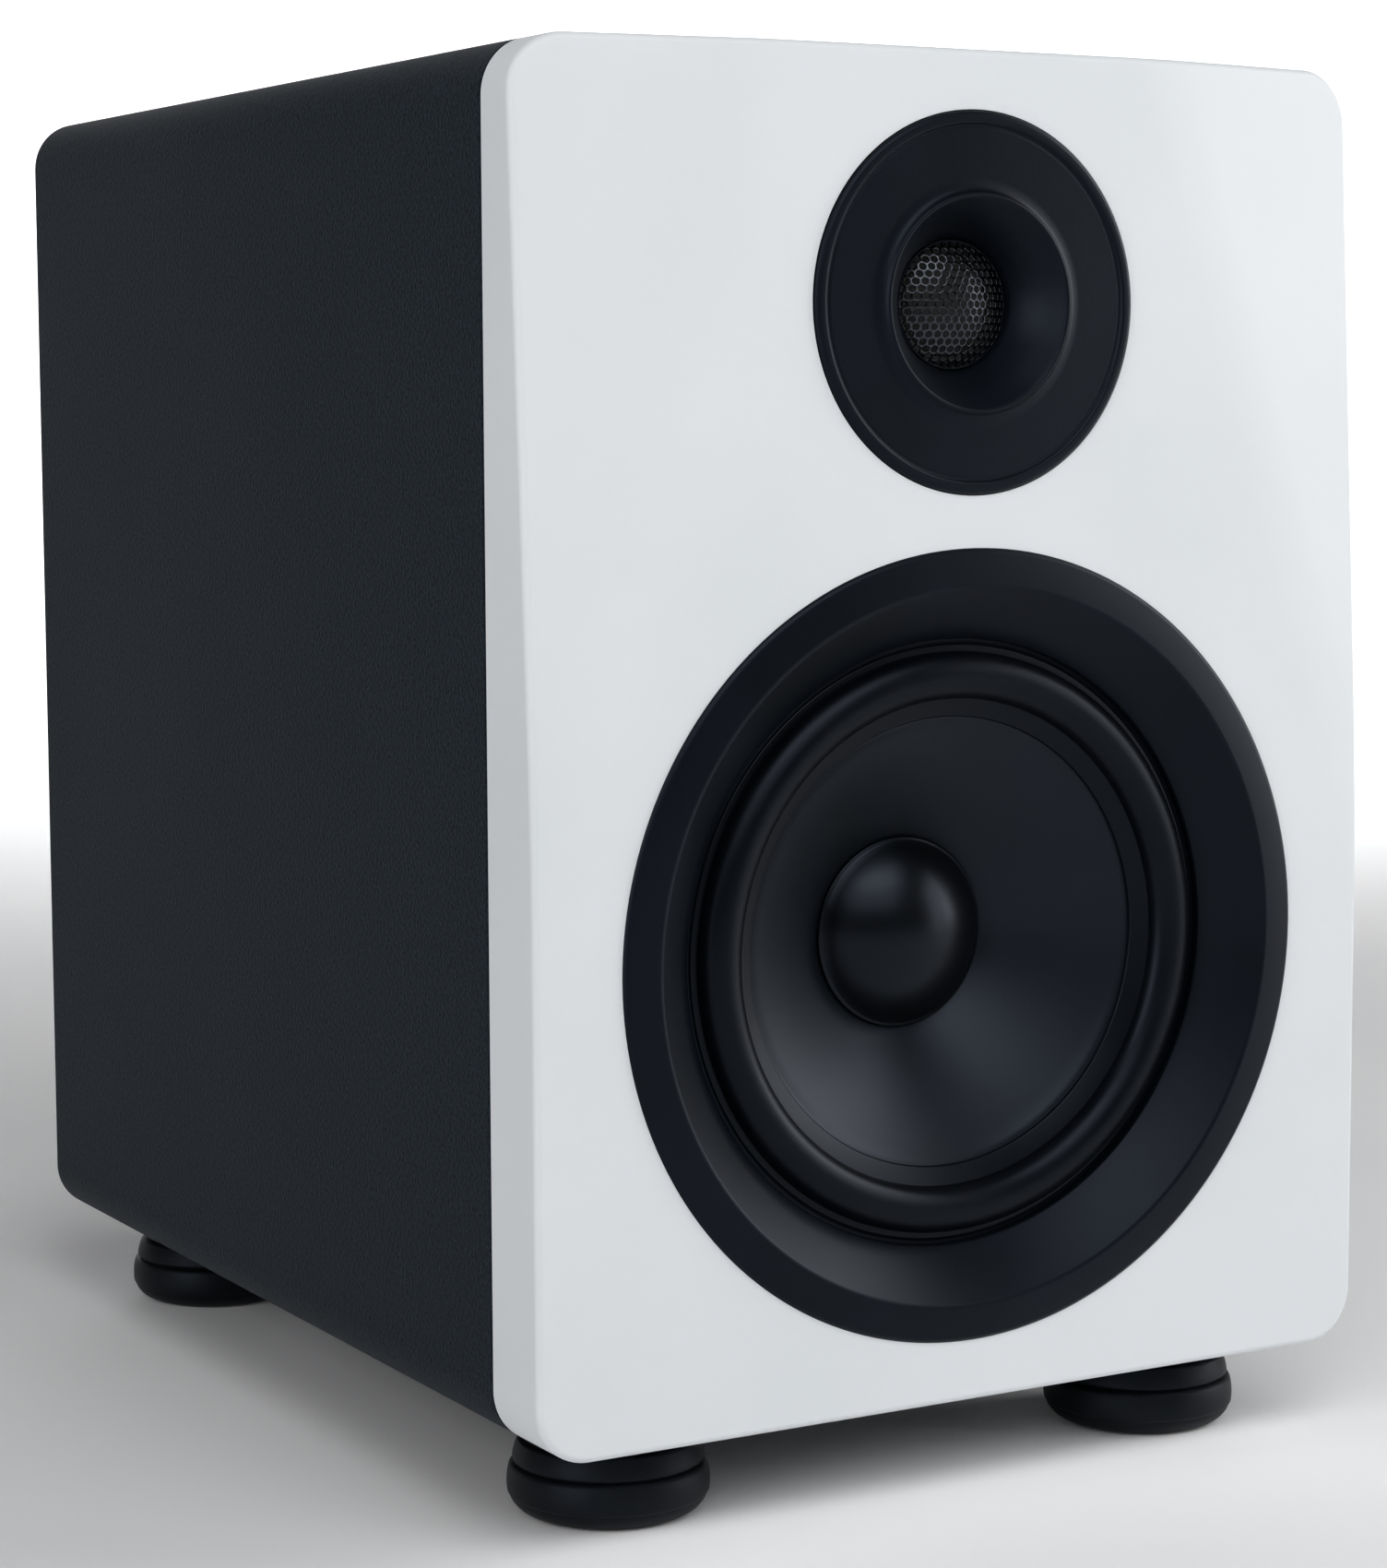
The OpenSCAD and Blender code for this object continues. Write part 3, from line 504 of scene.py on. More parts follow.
# Turned beech is pale and close-grained.
BEECH = moulded("beech_dowel_turned", "b98f5c", "cfa874", lump_mm=1.5, depth_mm=0.05, rough=0.6)
# Solder mask is a glossy green varnish.
PCB = moulded("green_solder_mask_printed", "12492f", "19603f", lump_mm=2.0, depth_mm=0.01,
              rough=0.35)
# A capacitor's wrap is a tight, shiny film.
CAPACITOR = moulded("capacitor_polyester_wrapped", "6a171c", "84212a", lump_mm=3.0,
                    depth_mm=0.02, rough=0.35)
# Cast cement is chalky and slightly pitted.
CEMENT = moulded("cement_resistor_cast", "cfc8b8", "e2dccd", lump_mm=0.7, depth_mm=0.05,
                 rough=0.8)
# Extruded insulation is smooth and waxy.
WIRE = moulded("pvc_insulation_extruded", "7c1a1a", "951f1f", lump_mm=2.0, depth_mm=0.01,
               rough=0.4)
# Rolled polyimide film is amber and glossy.
KAPTON = moulded("polyimide_former_rolled", "b98a3c", "cf9f4e", lump_mm=1.0, depth_mm=0.01,
                 rough=0.35)
# Carded wadding is off-white fluff with deep soft lumps.
WOOL = moulded("polyester_wadding_carded", "c9c9c2", "e4e4de", lump_mm=1.6, depth_mm=0.9,
               rough=0.95, patch_mm=8)
print("materials so far:", len(bpy.data.materials))

# %% [markdown]
# The floor. One pale sheet lies under the speaker and curves up behind it, so that no line
# parts floor from wall. It starts as one flat face, whose far edge is pulled up and the fold
# rounded. Matt paint gives it soft shadows without a mirror image.

# %% Floor sweep
FLOOR = moulded("painted_floor_matt", "f6f7f8", "fbfbfc", lump_mm=4.0, depth_mm=0.01,
                rough=0.8, patch_mm=300, level=0.3)
SWEEP_HALF_M = 4
SWEEP_RISE_M = 5
SWEEP_BEND_M = 1.4
SWEEP_FORWARD_M = 1.2


def add_floor():
    """A flat floor that curves up behind the speaker, made by extruding one edge."""
    bm = bmesh.new()
    bmesh.ops.create_grid(bm, x_segments=1, y_segments=1, size=SWEEP_HALF_M)
    back = [e for e in bm.edges if all(v.co.y > 0 for v in e.verts)]
    rise = bmesh.ops.extrude_edge_only(bm, edges=back)
    top = [v for v in rise["geom"] if isinstance(v, bmesh.types.BMVert)]
    bmesh.ops.translate(bm, vec=(0, 0, SWEEP_RISE_M), verts=top)
    fold = [e for e in bm.edges if len(e.link_faces) == 2]
    bmesh.ops.bevel(bm, geom=fold, offset=SWEEP_BEND_M, affect="EDGES", segments=24, profile=0.5,
                    material=-1)
    bmesh.ops.translate(bm, vec=(0, -SWEEP_FORWARD_M, 0), verts=bm.verts)
    mesh = bpy.data.meshes.new("studio_floor")
    bm.to_mesh(mesh)
    bm.free()
    mesh.materials.append(FLOOR)
    mesh.shade_smooth()
    floor = bpy.data.objects.new("studio_floor", mesh)
    bpy.context.scene.collection.objects.link(floor)
    print("floor:", len(mesh.polygons), "faces")


add_floor()

# %% [markdown]
# Finishing a piece. It turns the bmesh into an object in metres with its material, smooths
# its faces but keeps its sharp corners, hangs it on the body that it rides on, and hides the
# node that it stands for.


def finish(bm, name, material, body, node_names=(), place=Matrix(), sharp_deg=35):
    """The bmesh as an object at the origin, with the material that is given."""
    bm.transform(Matrix.Scale(MM, 4) @ place)
    mesh = bpy.data.meshes.new(name)
    bm.to_mesh(mesh)
    bm.free()
    mesh.shade_smooth()
    mesh.set_sharp_from_angle(angle=math.radians(sharp_deg))
    mesh.materials.append(material)
    piece = bpy.data.objects.new(name, mesh)
    bpy.context.scene.collection.objects.link(piece)
    if body:
        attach(piece, body)
    if node_names:
        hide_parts(*node_names)
    print(f"{name}: {len(mesh.polygons)} faces")
    return piece

# %% [markdown]
# Turning.
# Nearly everything on a loudspeaker is turned or moulded round an axis, so the main tool is a
# section spun about that axis. A section is a closed loop of corners, each with how much it
# is rounded. Bevelling the loop's corners before the spin gives every edge its real radius.

# %% Sections and spins
ROUND_STEPS = 144
WELD = 1e-5
ON_AXIS = 1e-6


def section(bm, corners, round_steps=5):
    """A closed loop in the XZ plane from (radius, height, rounding) corners."""
    verts = [bm.verts.new((c[0], 0, c[1])) for c in corners]
    face = bm.faces.new(verts)
    for size in sorted({c[2] for c in corners if len(c) > 2}, reverse=True):
        group = [v for v, c in zip(verts, corners) if len(c) > 2 and c[2] == size]
        bmesh.ops.bevel(bm, geom=group, offset=size, affect="VERTICES",
                        segments=round_steps, profile=0.5, material=-1)
    bmesh.ops.delete(bm, geom=bm.faces[:], context="FACES_ONLY")
    on_axis = [e for e in bm.edges if all(v.co.x < ON_AXIS for v in e.verts)]
    bmesh.ops.delete(bm, geom=on_axis, context="EDGES")


def turned(corners, steps=ROUND_STEPS, round_steps=5):
    """The section spun a full turn about Z."""
    bm = bmesh.new()
    section(bm, corners, round_steps)
    bmesh.ops.spin(bm, geom=bm.verts[:] + bm.edges[:], cent=(0, 0, 0), axis=(0, 0, 1),
                   angle=2 * math.pi, steps=steps, use_merge=True)
    bmesh.ops.remove_doubles(bm, verts=bm.verts, dist=WELD)
    bmesh.ops.recalc_face_normals(bm, faces=bm.faces)
    return bm

# %% [markdown]
# Blocks, rods and bevels.
# The cabinet and the cup are boards and boxes, so they start from a block, and their edges
# are picked by how they run or which way their faces look, then bevelled. A face looks along
# an axis when its normal leans less than about 25 degrees from it.

# %% Blocks, rods and bevels
FACING = 0.9


def block(low_corner, high_corner):
    """A box between two corners, as a bmesh."""
    bm = bmesh.new()
    bmesh.ops.create_cube(bm, size=1)
    size = Vector(high_corner) - Vector(low_corner)
    centre = (Vector(high_corner) + Vector(low_corner)) / 2
    bmesh.ops.scale(bm, vec=size, verts=bm.verts)
    bmesh.ops.translate(bm, vec=centre, verts=bm.verts)
    return bm


def bevel(bm, edges, offset, segments):
    bmesh.ops.bevel(bm, geom=edges, offset=offset, affect="EDGES", segments=segments,
                    profile=0.5, material=-1)


def runs_along(edge, axis):
    """True if an edge lies along X, Y or Z (0, 1 or 2)."""
    step = edge.verts[0].co - edge.verts[1].co
    return abs(step[axis]) > 0.999 * step.length


def rod(radius, low_h, high_h):
    """A round bar along Z between two heights."""
    bm = bmesh.new()
    bmesh.ops.create_cone(bm, cap_ends=True, segments=ROUND_STEPS, radius1=radius,
                          radius2=radius, depth=high_h - low_h)
    bmesh.ops.translate(bm, vec=(0, 0, (low_h + high_h) / 2), verts=bm.verts)
    return bm

# %% [markdown]
# Carving.
# Holes are cut with a Boolean modifier that is applied at once, the way a router cuts a
# finished board. The cutters are thrown away. A carved board has large flats beside small
# rounds, so weighted normals keep the flats perfectly flat in reflections.

# %% Carving
def carved(piece, *cutters):
    """The piece with the cutters' shapes cut out of it. The cutters are used up."""
    for tool in cutters:
        cut = piece.modifiers.new("cut", "BOOLEAN")
        cut.object = tool
        cut.operation = "DIFFERENCE"
        cut.solver = "EXACT"
    graph = bpy.context.evaluated_depsgraph_get()
    mesh = bpy.data.meshes.new_from_object(piece.evaluated_get(graph))
    piece.modifiers.clear()
    mesh.name = piece.name
    piece.data = mesh
    for tool in cutters:
        bpy.data.objects.remove(tool)


def cutter(bm, place=Matrix()):
    """A bmesh in millimetres as a loose object, to carve with."""
    bm.transform(Matrix.Scale(MM, 4) @ place)
    mesh = bpy.data.meshes.new("cutter")
    bm.to_mesh(mesh)
    bm.free()
    obj = bpy.data.objects.new("cutter", mesh)
    bpy.context.scene.collection.objects.link(obj)
    return obj


def keep_flats_flat(piece):
    weighted = piece.modifiers.new("flats", "WEIGHTED_NORMAL")
    weighted.keep_sharp = True

# %% [markdown]
# The baffle.
# A slab of board with the cabinet's rounded corners, its front edge eased and lacquered, and
# two shallow facets planed off its upper corners. It could be a flat polygon with a bevel
# modifier, but the facets and the eased edge meet, so it is made as the joiner does it: round
# the corners, plane the facets, soften their creases, then ease the front edge. A hair's gap
# is left behind it, which is the dark line round the cabinet.

# %% Front baffle
FACET_IN = 53
FACET_DROP = 154
FACET_TILT = math.radians(9.3)
CREASE_WIDTH = 7
FRONT_EASE = 1.5
BACK_EASE = 0.35
JOINT_GAP = 0.15
BAFFLE_BACK_Y = JOINT_Y - JOINT_GAP
CORNER_STEPS = 16


def facet_plane(side):
    """A point on a facet's crease, and the direction that the facet faces."""
    lean = math.atan(FACET_IN / FACET_DROP)
    out = Vector((side * math.cos(lean), 0, math.sin(lean)))
    normal = Vector((0, -1, 0)) * math.cos(FACET_TILT) + out * math.sin(FACET_TILT)
    return Vector((side * WIDTH / 2, FRONT_Y, TOP_Z - FACET_DROP)), normal


def make_baffle():
    bm = block((-WIDTH / 2, FRONT_Y, BASE_Z), (WIDTH / 2, BAFFLE_BACK_Y, TOP_Z))
    bevel(bm, [e for e in bm.edges if runs_along(e, 1)], EDGE_R, CORNER_STEPS)
    for side in (-1, 1):
        spot, normal = facet_plane(side)
        cut = bmesh.ops.bisect_plane(bm, geom=bm.verts[:] + bm.edges[:] + bm.faces[:],
                                     dist=1e-4, plane_co=spot, plane_no=normal, clear_outer=True)
        rim = [e for e in cut["geom_cut"] if isinstance(e, bmesh.types.BMEdge)]
        bmesh.ops.contextual_create(bm, geom=rim)
    bmesh.ops.recalc_face_normals(bm, faces=bm.faces)
    crease = [e for e in bm.edges if len(e.link_faces) == 2
              and all(f.normal.y < -FACING for f in e.link_faces)]
    bevel(bm, crease, CREASE_WIDTH, 6)
    bm.normal_update()
    rim = [e for e in bm.edges if len(e.link_faces) == 2
           and sum(f.normal.y < -FACING for f in e.link_faces) == 1]
    bevel(bm, rim, FRONT_EASE, 6)
    back = [e for e in bm.edges if all(abs(v.co.y - BAFFLE_BACK_Y) < 1e-3 for v in e.verts)]
    bevel(bm, back, BACK_EASE, 2)
    return finish(bm, "baffle_lacquered", LACQUER, "housing", ["front_baffle"])


baffle = make_baffle()

# %% [markdown]
# Holes in the baffle.
# Each driver has two: a shallow rebate that its rim sits in, and a hole right through for the
# works behind. The cutters only have to start and end clear of the board.

# %% Driver holes
RING_R = high("woofer_trim_ring").x
FACE_R = high("tweeter_faceplate").x
RING_LAP = 2.2
PLATE_GAP = 0.25
WOOFER_REBATE_H = -13
TWEETER_REBATE_H = -3.5
WOOFER_HOLE_R = 68
TWEETER_HOLE_R = 27.6
THROUGH_H = -40
CLEAR_H = 20

carved(baffle,
       cutter(rod(RING_R - RING_LAP, WOOFER_REBATE_H, CLEAR_H), AT_WOOFER),
       cutter(rod(WOOFER_HOLE_R, THROUGH_H, CLEAR_H), AT_WOOFER),
       cutter(rod(FACE_R + PLATE_GAP, TWEETER_REBATE_H, CLEAR_H), AT_TWEETER),
       cutter(rod(TWEETER_HOLE_R, THROUGH_H, CLEAR_H), AT_TWEETER))
keep_flats_flat(baffle)
print("baffle with its holes:", len(baffle.data.polygons), "faces")

# %% [markdown]
# The cabinet.
# One board box wrapped in foil: a rounded slab, hollowed, with its end edges barely eased
# because the foil is folded over them.

# %% Cabinet
WALL = 15
FOIL_EASE = 0.6
PAST_END = 5


def make_cabinet():
    bm = block((-WIDTH / 2, JOINT_Y, BASE_Z), (WIDTH / 2, BACK_Y, TOP_Z))
    bevel(bm, [e for e in bm.edges if runs_along(e, 1)], EDGE_R, CORNER_STEPS)
    bm.normal_update()
    ends = [e for e in bm.edges if sum(abs(f.normal.y) > FACING for f in e.link_faces) == 1]
    bevel(bm, ends, FOIL_EASE, 3)
    piece = finish(bm, "cabinet_wrapped", VINYL, "housing", ["cabinet_shell"])
    hollow = block((WALL - WIDTH / 2, JOINT_Y - PAST_END, BASE_Z + WALL),
                   (WIDTH / 2 - WALL, BACK_Y + PAST_END, TOP_Z - WALL))
    carved(piece, cutter(hollow))
    keep_flats_flat(piece)


make_cabinet()

# %% [markdown]
# The back panel.
# A board in the same foil that sits inside the four walls, a little sunk, with a narrow
# shadow gap round it and holes for the port and the terminal cup.

# %% Back panel
PANEL_GAP = 0.35
PANEL_SINK = 0.3
PANEL_EASE = 1.0
PORT_HOLE_R = 32.5
CUP_HOLE_X = 33
CUP_HOLE_Z = 24
CUP_CUT_IN = 30
PORT_CUT_OUT = 10


def make_back_panel():
    bm = block(low("back_panel") + Vector((PANEL_GAP, 0, PANEL_GAP)),
               high("back_panel") - Vector((PANEL_GAP, PANEL_SINK, PANEL_GAP)))
    bm.normal_update()
    rim = [e for e in bm.edges if sum(f.normal.y > FACING for f in e.link_faces) == 1]
    bevel(bm, rim, PANEL_EASE, 3)
    piece = finish(bm, "back_panel_wrapped", VINYL, "housing", ["back_panel"])
    cup_z = middle("terminal_cup").z
    hole = block((-CUP_HOLE_X, BACK_Y - CUP_CUT_IN, cup_z - CUP_HOLE_Z),
                 (CUP_HOLE_X, BACK_Y + PAST_END, cup_z + CUP_HOLE_Z))
    carved(piece, cutter(rod(PORT_HOLE_R, THROUGH_H, PORT_CUT_OUT), AT_PORT), cutter(hole))
    keep_flats_flat(piece)


make_back_panel()

# %% [markdown]
# The woofer's trim ring.
# An ABS moulding that hides the driver's flange and screws. Its section has a gently falling
# outer face, a crisp crest, a deep inner bevel and a short skirt, so the light breaks along
# each of those edges. Below it a thin lip of the basket and the glue bead of the surround
# show as two fine lines.

# %% Woofer ring and flange
def make_trim_ring():
    bm = turned([
        (62.5, -8.6, 0.15), (62.5, -7.4, 0.35), (73.3, 2.0, 0.7), (80.5, 0.75, 0.5),
        (RING_R, 0.02, 0.1), (78.7, 0.02), (78.7, -2), (73.8, -1.5), (65.5, -8.6, 0.2)], steps=192)
    finish(bm, "woofer_ring_moulded", ABS, "housing", ["woofer_trim_ring"], AT_WOOFER, sharp_deg=28)


def make_seal_lip():
    """The pressed edge of the basket, with the surround's glued foot on it."""
    bm = turned([
        (60.2, -9.35, 0.1), (60.2, -8.9, 0.2), (61.4, -8.75, 0.2), (61.9, -9.0, 0.15),
        (66, -9.0), (66, -9.35)])
    finish(bm, "woofer_seal_lip", ABS, "housing", (), AT_WOOFER)


make_trim_ring()
make_seal_lip()

# %% [markdown]
# Rings that stretch.
# When the cone moves, the surround's outer edge stays and its inner edge travels, so the
# rubber has to stretch radially. Such a ring is cut like a cake into wedges, each spun from
# the same section over its own share of the turn.

# %% Wedges of a ring that stretches
def make_wedges(name, corners, node, place, material, count, round_steps=3, steps=8):
    """A ring cut in wedges, each spun from the same section over its own share of the turn."""
    wedge = 2 * math.pi / count
    for i in range(count):
        bm = bmesh.new()
        section(bm, corners, round_steps)
        bmesh.ops.rotate(bm, verts=bm.verts, cent=(0, 0, 0),
                         matrix=Matrix.Rotation(i * wedge, 3, "Z"))
        bmesh.ops.spin(bm, geom=bm.verts[:] + bm.edges[:], cent=(0, 0, 0), axis=(0, 0, 1),
                       angle=wedge, steps=steps, use_merge=False)
        bmesh.ops.remove_doubles(bm, verts=bm.verts, dist=WELD)
        bmesh.ops.recalc_face_normals(bm, faces=bm.faces)
        piece = finish(bm, f"{name}_{i:02d}", material, None, [node], place, sharp_deg=50)
        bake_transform(piece)

# %% [markdown]
# The surround.
# A half roll of rubber joins the fixed basket to the moving cone. Its section is one loop:
# a flat foot, the roll over and back underneath, and a flat lip glued on the cone.

# %% Woofer surround
ROLL_R = 55.1
ROLL_HALF = 4.85
ROLL_RISE = 4.2
ROLL_H = -8.2
ROLL_THICK = 0.9
ROLL_STEPS = 20
SURROUND_WEDGES = 24


def roll_corners():
    angles = [math.pi * i / ROLL_STEPS for i in range(ROLL_STEPS + 1)]
    over = [(ROLL_R + ROLL_HALF * math.cos(a), ROLL_H + ROLL_RISE * math.sin(a)) for a in angles]
    under = [(ROLL_R + (ROLL_HALF - ROLL_THICK) * math.cos(a),
              ROLL_H - ROLL_THICK + ROLL_RISE * math.sin(a)) for a in reversed(angles)]
    return ([(61.6, -8.85, 0.2), (61.2, -8.25, 0.25)] + over
            + [(46.6, -9.75, 0.2), (46.4, -10.35, 0.1)] + under)


make_wedges("surround", roll_corners(), "woofer_surround", AT_WOOFER, BUTYL,
            count=SURROUND_WEDGES)

# %% [markdown]
# The cone.
# A thin flared shell. Its flare is one shallow curve, steeper at the neck, with a fine raised
# ring just inside the surround's lip, where the glue has set.

# %% Cone
CONE_R = 50
NECK_R = 13.3
CONE_RIM_H = -9.35
NECK_H = -33.15
CONE_BOW = 1.3
CONE_THICK = 0.8
GLUE_RING = {46.3: 0.05, 45.9: 0.14, 45.4: 0.02}


def cone_height(radius):
    t = (CONE_R - radius) / (CONE_R - NECK_R)
    return CONE_RIM_H + (NECK_H - CONE_RIM_H) * t + 4 * CONE_BOW * t * (1 - t)


def make_cone():
    radii = [CONE_R, 47, *GLUE_RING, 43] + [40 - 3 * i for i in range(9)] + [NECK_R]
    front = [(r, cone_height(r) + GLUE_RING.get(r, 0)) for r in radii]
    back = [(r, cone_height(r) - CONE_THICK) for r in reversed(radii)]
    finish(turned(front + back), "cone_pressed", CONE, "woofer_diaphragm",
           ["woofer_cone"], AT_WOOFER, sharp_deg=40)


make_cone()

# %% [markdown]
# The dust cap.
# A shallow dome with a rolled rim, bonded over the voice coil. The dome is an arc of a
# circle, spun, so its highlight stays round.

# %% Dust cap
DOME_STEPS = 14


def dome(radius, base_h, rise, thickness):
    """Corners of a domed shell, from the rim to the axis and back underneath."""
    ball = (radius ** 2 + rise ** 2) / (2 * rise)
    half = math.asin(radius / ball)
    angles = [half * (1 - i / DOME_STEPS) for i in range(DOME_STEPS + 1)]
    centre = base_h + rise - ball
    outer = [(ball * math.sin(a), centre + ball * math.cos(a)) for a in angles]
    inner = [((ball - thickness) * math.sin(a), centre + (ball - thickness) * math.cos(a))
             for a in reversed(angles)]
    return outer, inner


def make_dust_cap():
    outer, inner = dome(radius=19.1, base_h=-26.9, rise=9.0, thickness=0.7)
    rim = [(18.9, -28.4, 0.2), (20.1, -27.95, 0.2), (20.0, -27.3, 0.3), (19.5, -27.15, 0.25)]
    finish(turned(rim + outer + inner, steps=96), "dust_cap_pressed", CAP, "woofer_diaphragm",
           ["woofer_dust_cap"], AT_WOOFER, sharp_deg=60)


make_dust_cap()

# %% [markdown]
# The spider.
# A disc of resin-dipped cloth, pressed into waves, that centres the coil. Its section is a
# wave drawn over and back, and it is cut in wedges like the surround because it is fixed at
# its outer edge and moves at its inner one.

# %% Spider
SPIDER_IN = 13.2
SPIDER_OUT = 41
SPIDER_WAVE = 1.2
SPIDER_THICK = 0.5
SPIDER_WAVES = 4
SPIDER_STEPS = 32
SPIDER_BASE_H = FRONT_Y - high("woofer_spider").y + SPIDER_WAVE


def spider_corners():
    """The waved cloth's section, over and back underneath."""
    line = [i / SPIDER_STEPS for i in range(SPIDER_STEPS + 1)]
    under = [(SPIDER_IN + (SPIDER_OUT - SPIDER_IN) * t,
              SPIDER_BASE_H + SPIDER_WAVE * math.sin(2 * math.pi * SPIDER_WAVES * t))
             for t in line]
    over = [(r, h + SPIDER_THICK) for r, h in under]
    return over + under[::-1]


make_wedges("spider", spider_corners(), "woofer_spider", AT_WOOFER, SPIDER,
            count=12, round_steps=1, steps=6)

# %% [markdown]
# The tweeter's roll.
# The tweeter's dome has a tiny surround of the same silk, pressed into one small step.

# %% Tweeter roll
make_wedges("tweeter_roll",
            [(10.4, -11.6), (10.8, -10.9, 0.3), (11.6, -10.9, 0.3), (12.2, -11.6, 0.1),
             (24.0, -11.6), (24.0, -12.0), (10.4, -12.0)],
            "tweeter_surround", AT_TWEETER, SILK,
            count=12, round_steps=2, steps=6)

# %% [markdown]
# The leads.
# Two braids of copper carry the current to the moving coil, each in one slack bend from the
# terminal strip to the back of the cone. Each is a smooth curve given a round section, and
# made a mesh.

# %% Tinsel leads
LEAD_R = 0.65
LEAD_APART = 4
LEAD_PATH = [(27.5, -26), (33, -28.2), (40, -31), (46, -34), (48.5, -38), (48.5, -44.7)]


def make_lead(side):
    """A braid from the cone's back to the terminal strip."""
    curve = bpy.data.curves.new("lead", "CURVE")
    curve.dimensions = "3D"
    curve.bevel_depth = LEAD_R * MM
    curve.bevel_resolution = 3
    curve.use_fill_caps = True
    spline = curve.splines.new("NURBS")
    spline.points.add(len(LEAD_PATH) - 1)
    spline.use_endpoint_u = True
    spline.order_u = 4
    for point, (x, h) in zip(spline.points, LEAD_PATH):
        point.co = (*(AT_WOOFER @ Vector((x, LEAD_APART * side, h)) * MM), 1)
    path = bpy.data.objects.new("lead", curve)
    bpy.context.scene.collection.objects.link(path)
    bm = bmesh.new()
    bm.from_mesh(path.to_mesh())
    bpy.data.objects.remove(path)
    bmesh.ops.scale(bm, vec=Vector((1, 1, 1)) / MM, verts=bm.verts)
    name = "lead_upper" if side > 0 else "lead_lower"
    piece = finish(bm, name, COPPER, None, ["woofer_tinsel_leads"])
    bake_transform(piece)


make_lead(-1)
make_lead(1)

# %% [markdown]
# The tweeter's faceplate.
# A round ABS plate let into the baffle: a rounded rim, a fine groove inside it, a flat, and
# a raised lip that turns down into the waveguide. The horn's flare is drawn with the few
# corners that its curve needs, each rounded into the next. The last corners are the plate's
# unseen back.

# %% Tweeter faceplate
def make_faceplate():
    bm = turned([
        (FACE_R, -3.5), (FACE_R, 0.35, 0.3), (FACE_R - 0.7, 0.95, 0.35), (FACE_R - 2.3, 1.0, 0.35),
        (FACE_R - 2.75, 0.35, 0.15), (FACE_R - 3.15, 0.35, 0.15), (FACE_R - 3.5, 0.5, 0.12),
        (24.0, 0.5, 0.9), (22.4, 1.0, 0.6), (21.7, 1.95, 0.2), (21.1, 1.95, 0.2),
        (19.6, 0.3, 1.2), (17.2, -2.5, 1.2), (15.1, -5.4, 1.0), (13.6, -8.0, 0.6),
        (13, -10.2), (15.4, -10.2), (18, -5), (23.3, -3.5), (24.3, -3.5), (24.3, -13),
        (27, -13), (27, -3.5)], steps=160)
    finish(bm, "tweeter_plate_moulded", ABS, "housing", ["tweeter_faceplate"],
           AT_TWEETER, sharp_deg=32)


make_faceplate()

# %% [markdown]
# The tweeter's mesh.
# A disc of steel pierced with hexagons and pressed into a dome. An alpha texture would give
# the holes but not their edges, and the edges are what sparkles. So the cells are real: one
# small hexagon after another, welded, each inset and opened, then the sheet is lifted onto
# the dome, thickened and rounded.

# %% Mesh dome
CELL = 1.72
WIRE_W = 0.36
MESH_R = 12.6
MESH_H = -8.6
MESH_RISE = 4.2
SHEET = 0.3
HALF_COLUMNS = 9
PAST_RIM = 0.4


def make_mesh():
    bm = bmesh.new()
    radius = CELL / math.sqrt(3)
    rows = int(MESH_R / (1.5 * radius)) + 2
    for row in range(-rows, rows + 1):
        for column in range(-HALF_COLUMNS, HALF_COLUMNS + 1):
            spot = Vector(((column + 0.5 * (row % 2)) * CELL, row * 1.5 * radius, 0))
            if spot.length > MESH_R + PAST_RIM * CELL:
                continue
            bmesh.ops.create_circle(bm, cap_ends=True, segments=6, radius=radius,
                                    matrix=Matrix.Translation(spot))
    bmesh.ops.remove_doubles(bm, verts=bm.verts, dist=radius * 0.1)
    cells = bm.faces[:]
    bmesh.ops.inset_individual(bm, faces=cells, thickness=WIRE_W / 2, use_even_offset=True)
    bmesh.ops.delete(bm, geom=cells, context="FACES_ONLY")
    ball = (MESH_R ** 2 + MESH_RISE ** 2) / (2 * MESH_RISE)
    for v in bm.verts:
        flat = min(v.co.xy.length, MESH_R)
        v.co.xy = v.co.xy.normalized() * flat if flat > 0 else v.co.xy
        v.co.z = MESH_H + MESH_RISE - ball + math.sqrt(ball ** 2 - flat ** 2) - SHEET / 2
    bmesh.ops.recalc_face_normals(bm, faces=bm.faces)
    piece = finish(bm, "tweeter_mesh_pierced", MESH, "housing", ["tweeter_mesh"], AT_TWEETER,
                   sharp_deg=180)
    skin = piece.modifiers.new("thickness", "SOLIDIFY")
    skin.thickness = SHEET * MM
    skin.offset = 0
    soft = piece.modifiers.new("rounded", "SUBSURF")
    soft.levels = soft.render_levels = 1


def make_mesh_rim():
    bm = turned([(12.3, -9.1, 0.1), (12.4, -8.75, 0.1), (12.95, -8.75, 0.1), (13.0, -9.6)], steps=96)
    finish(bm, "tweeter_mesh_rim", ABS, "housing", (), AT_TWEETER)


make_mesh()
make_mesh_rim()

# %% [markdown]
# The feet.
# Compression-moulded rubber in three tiers, each a soft bulge with a groove under it. The
# section is the same one four times, spun on each foot's own axis, with a pocket underneath
# for the screw and its washer.

# %% Feet
FOOT_R = (high("foot_front_left").x - low("foot_front_left").x) / 2
FOOT_H = high("foot_front_left").z


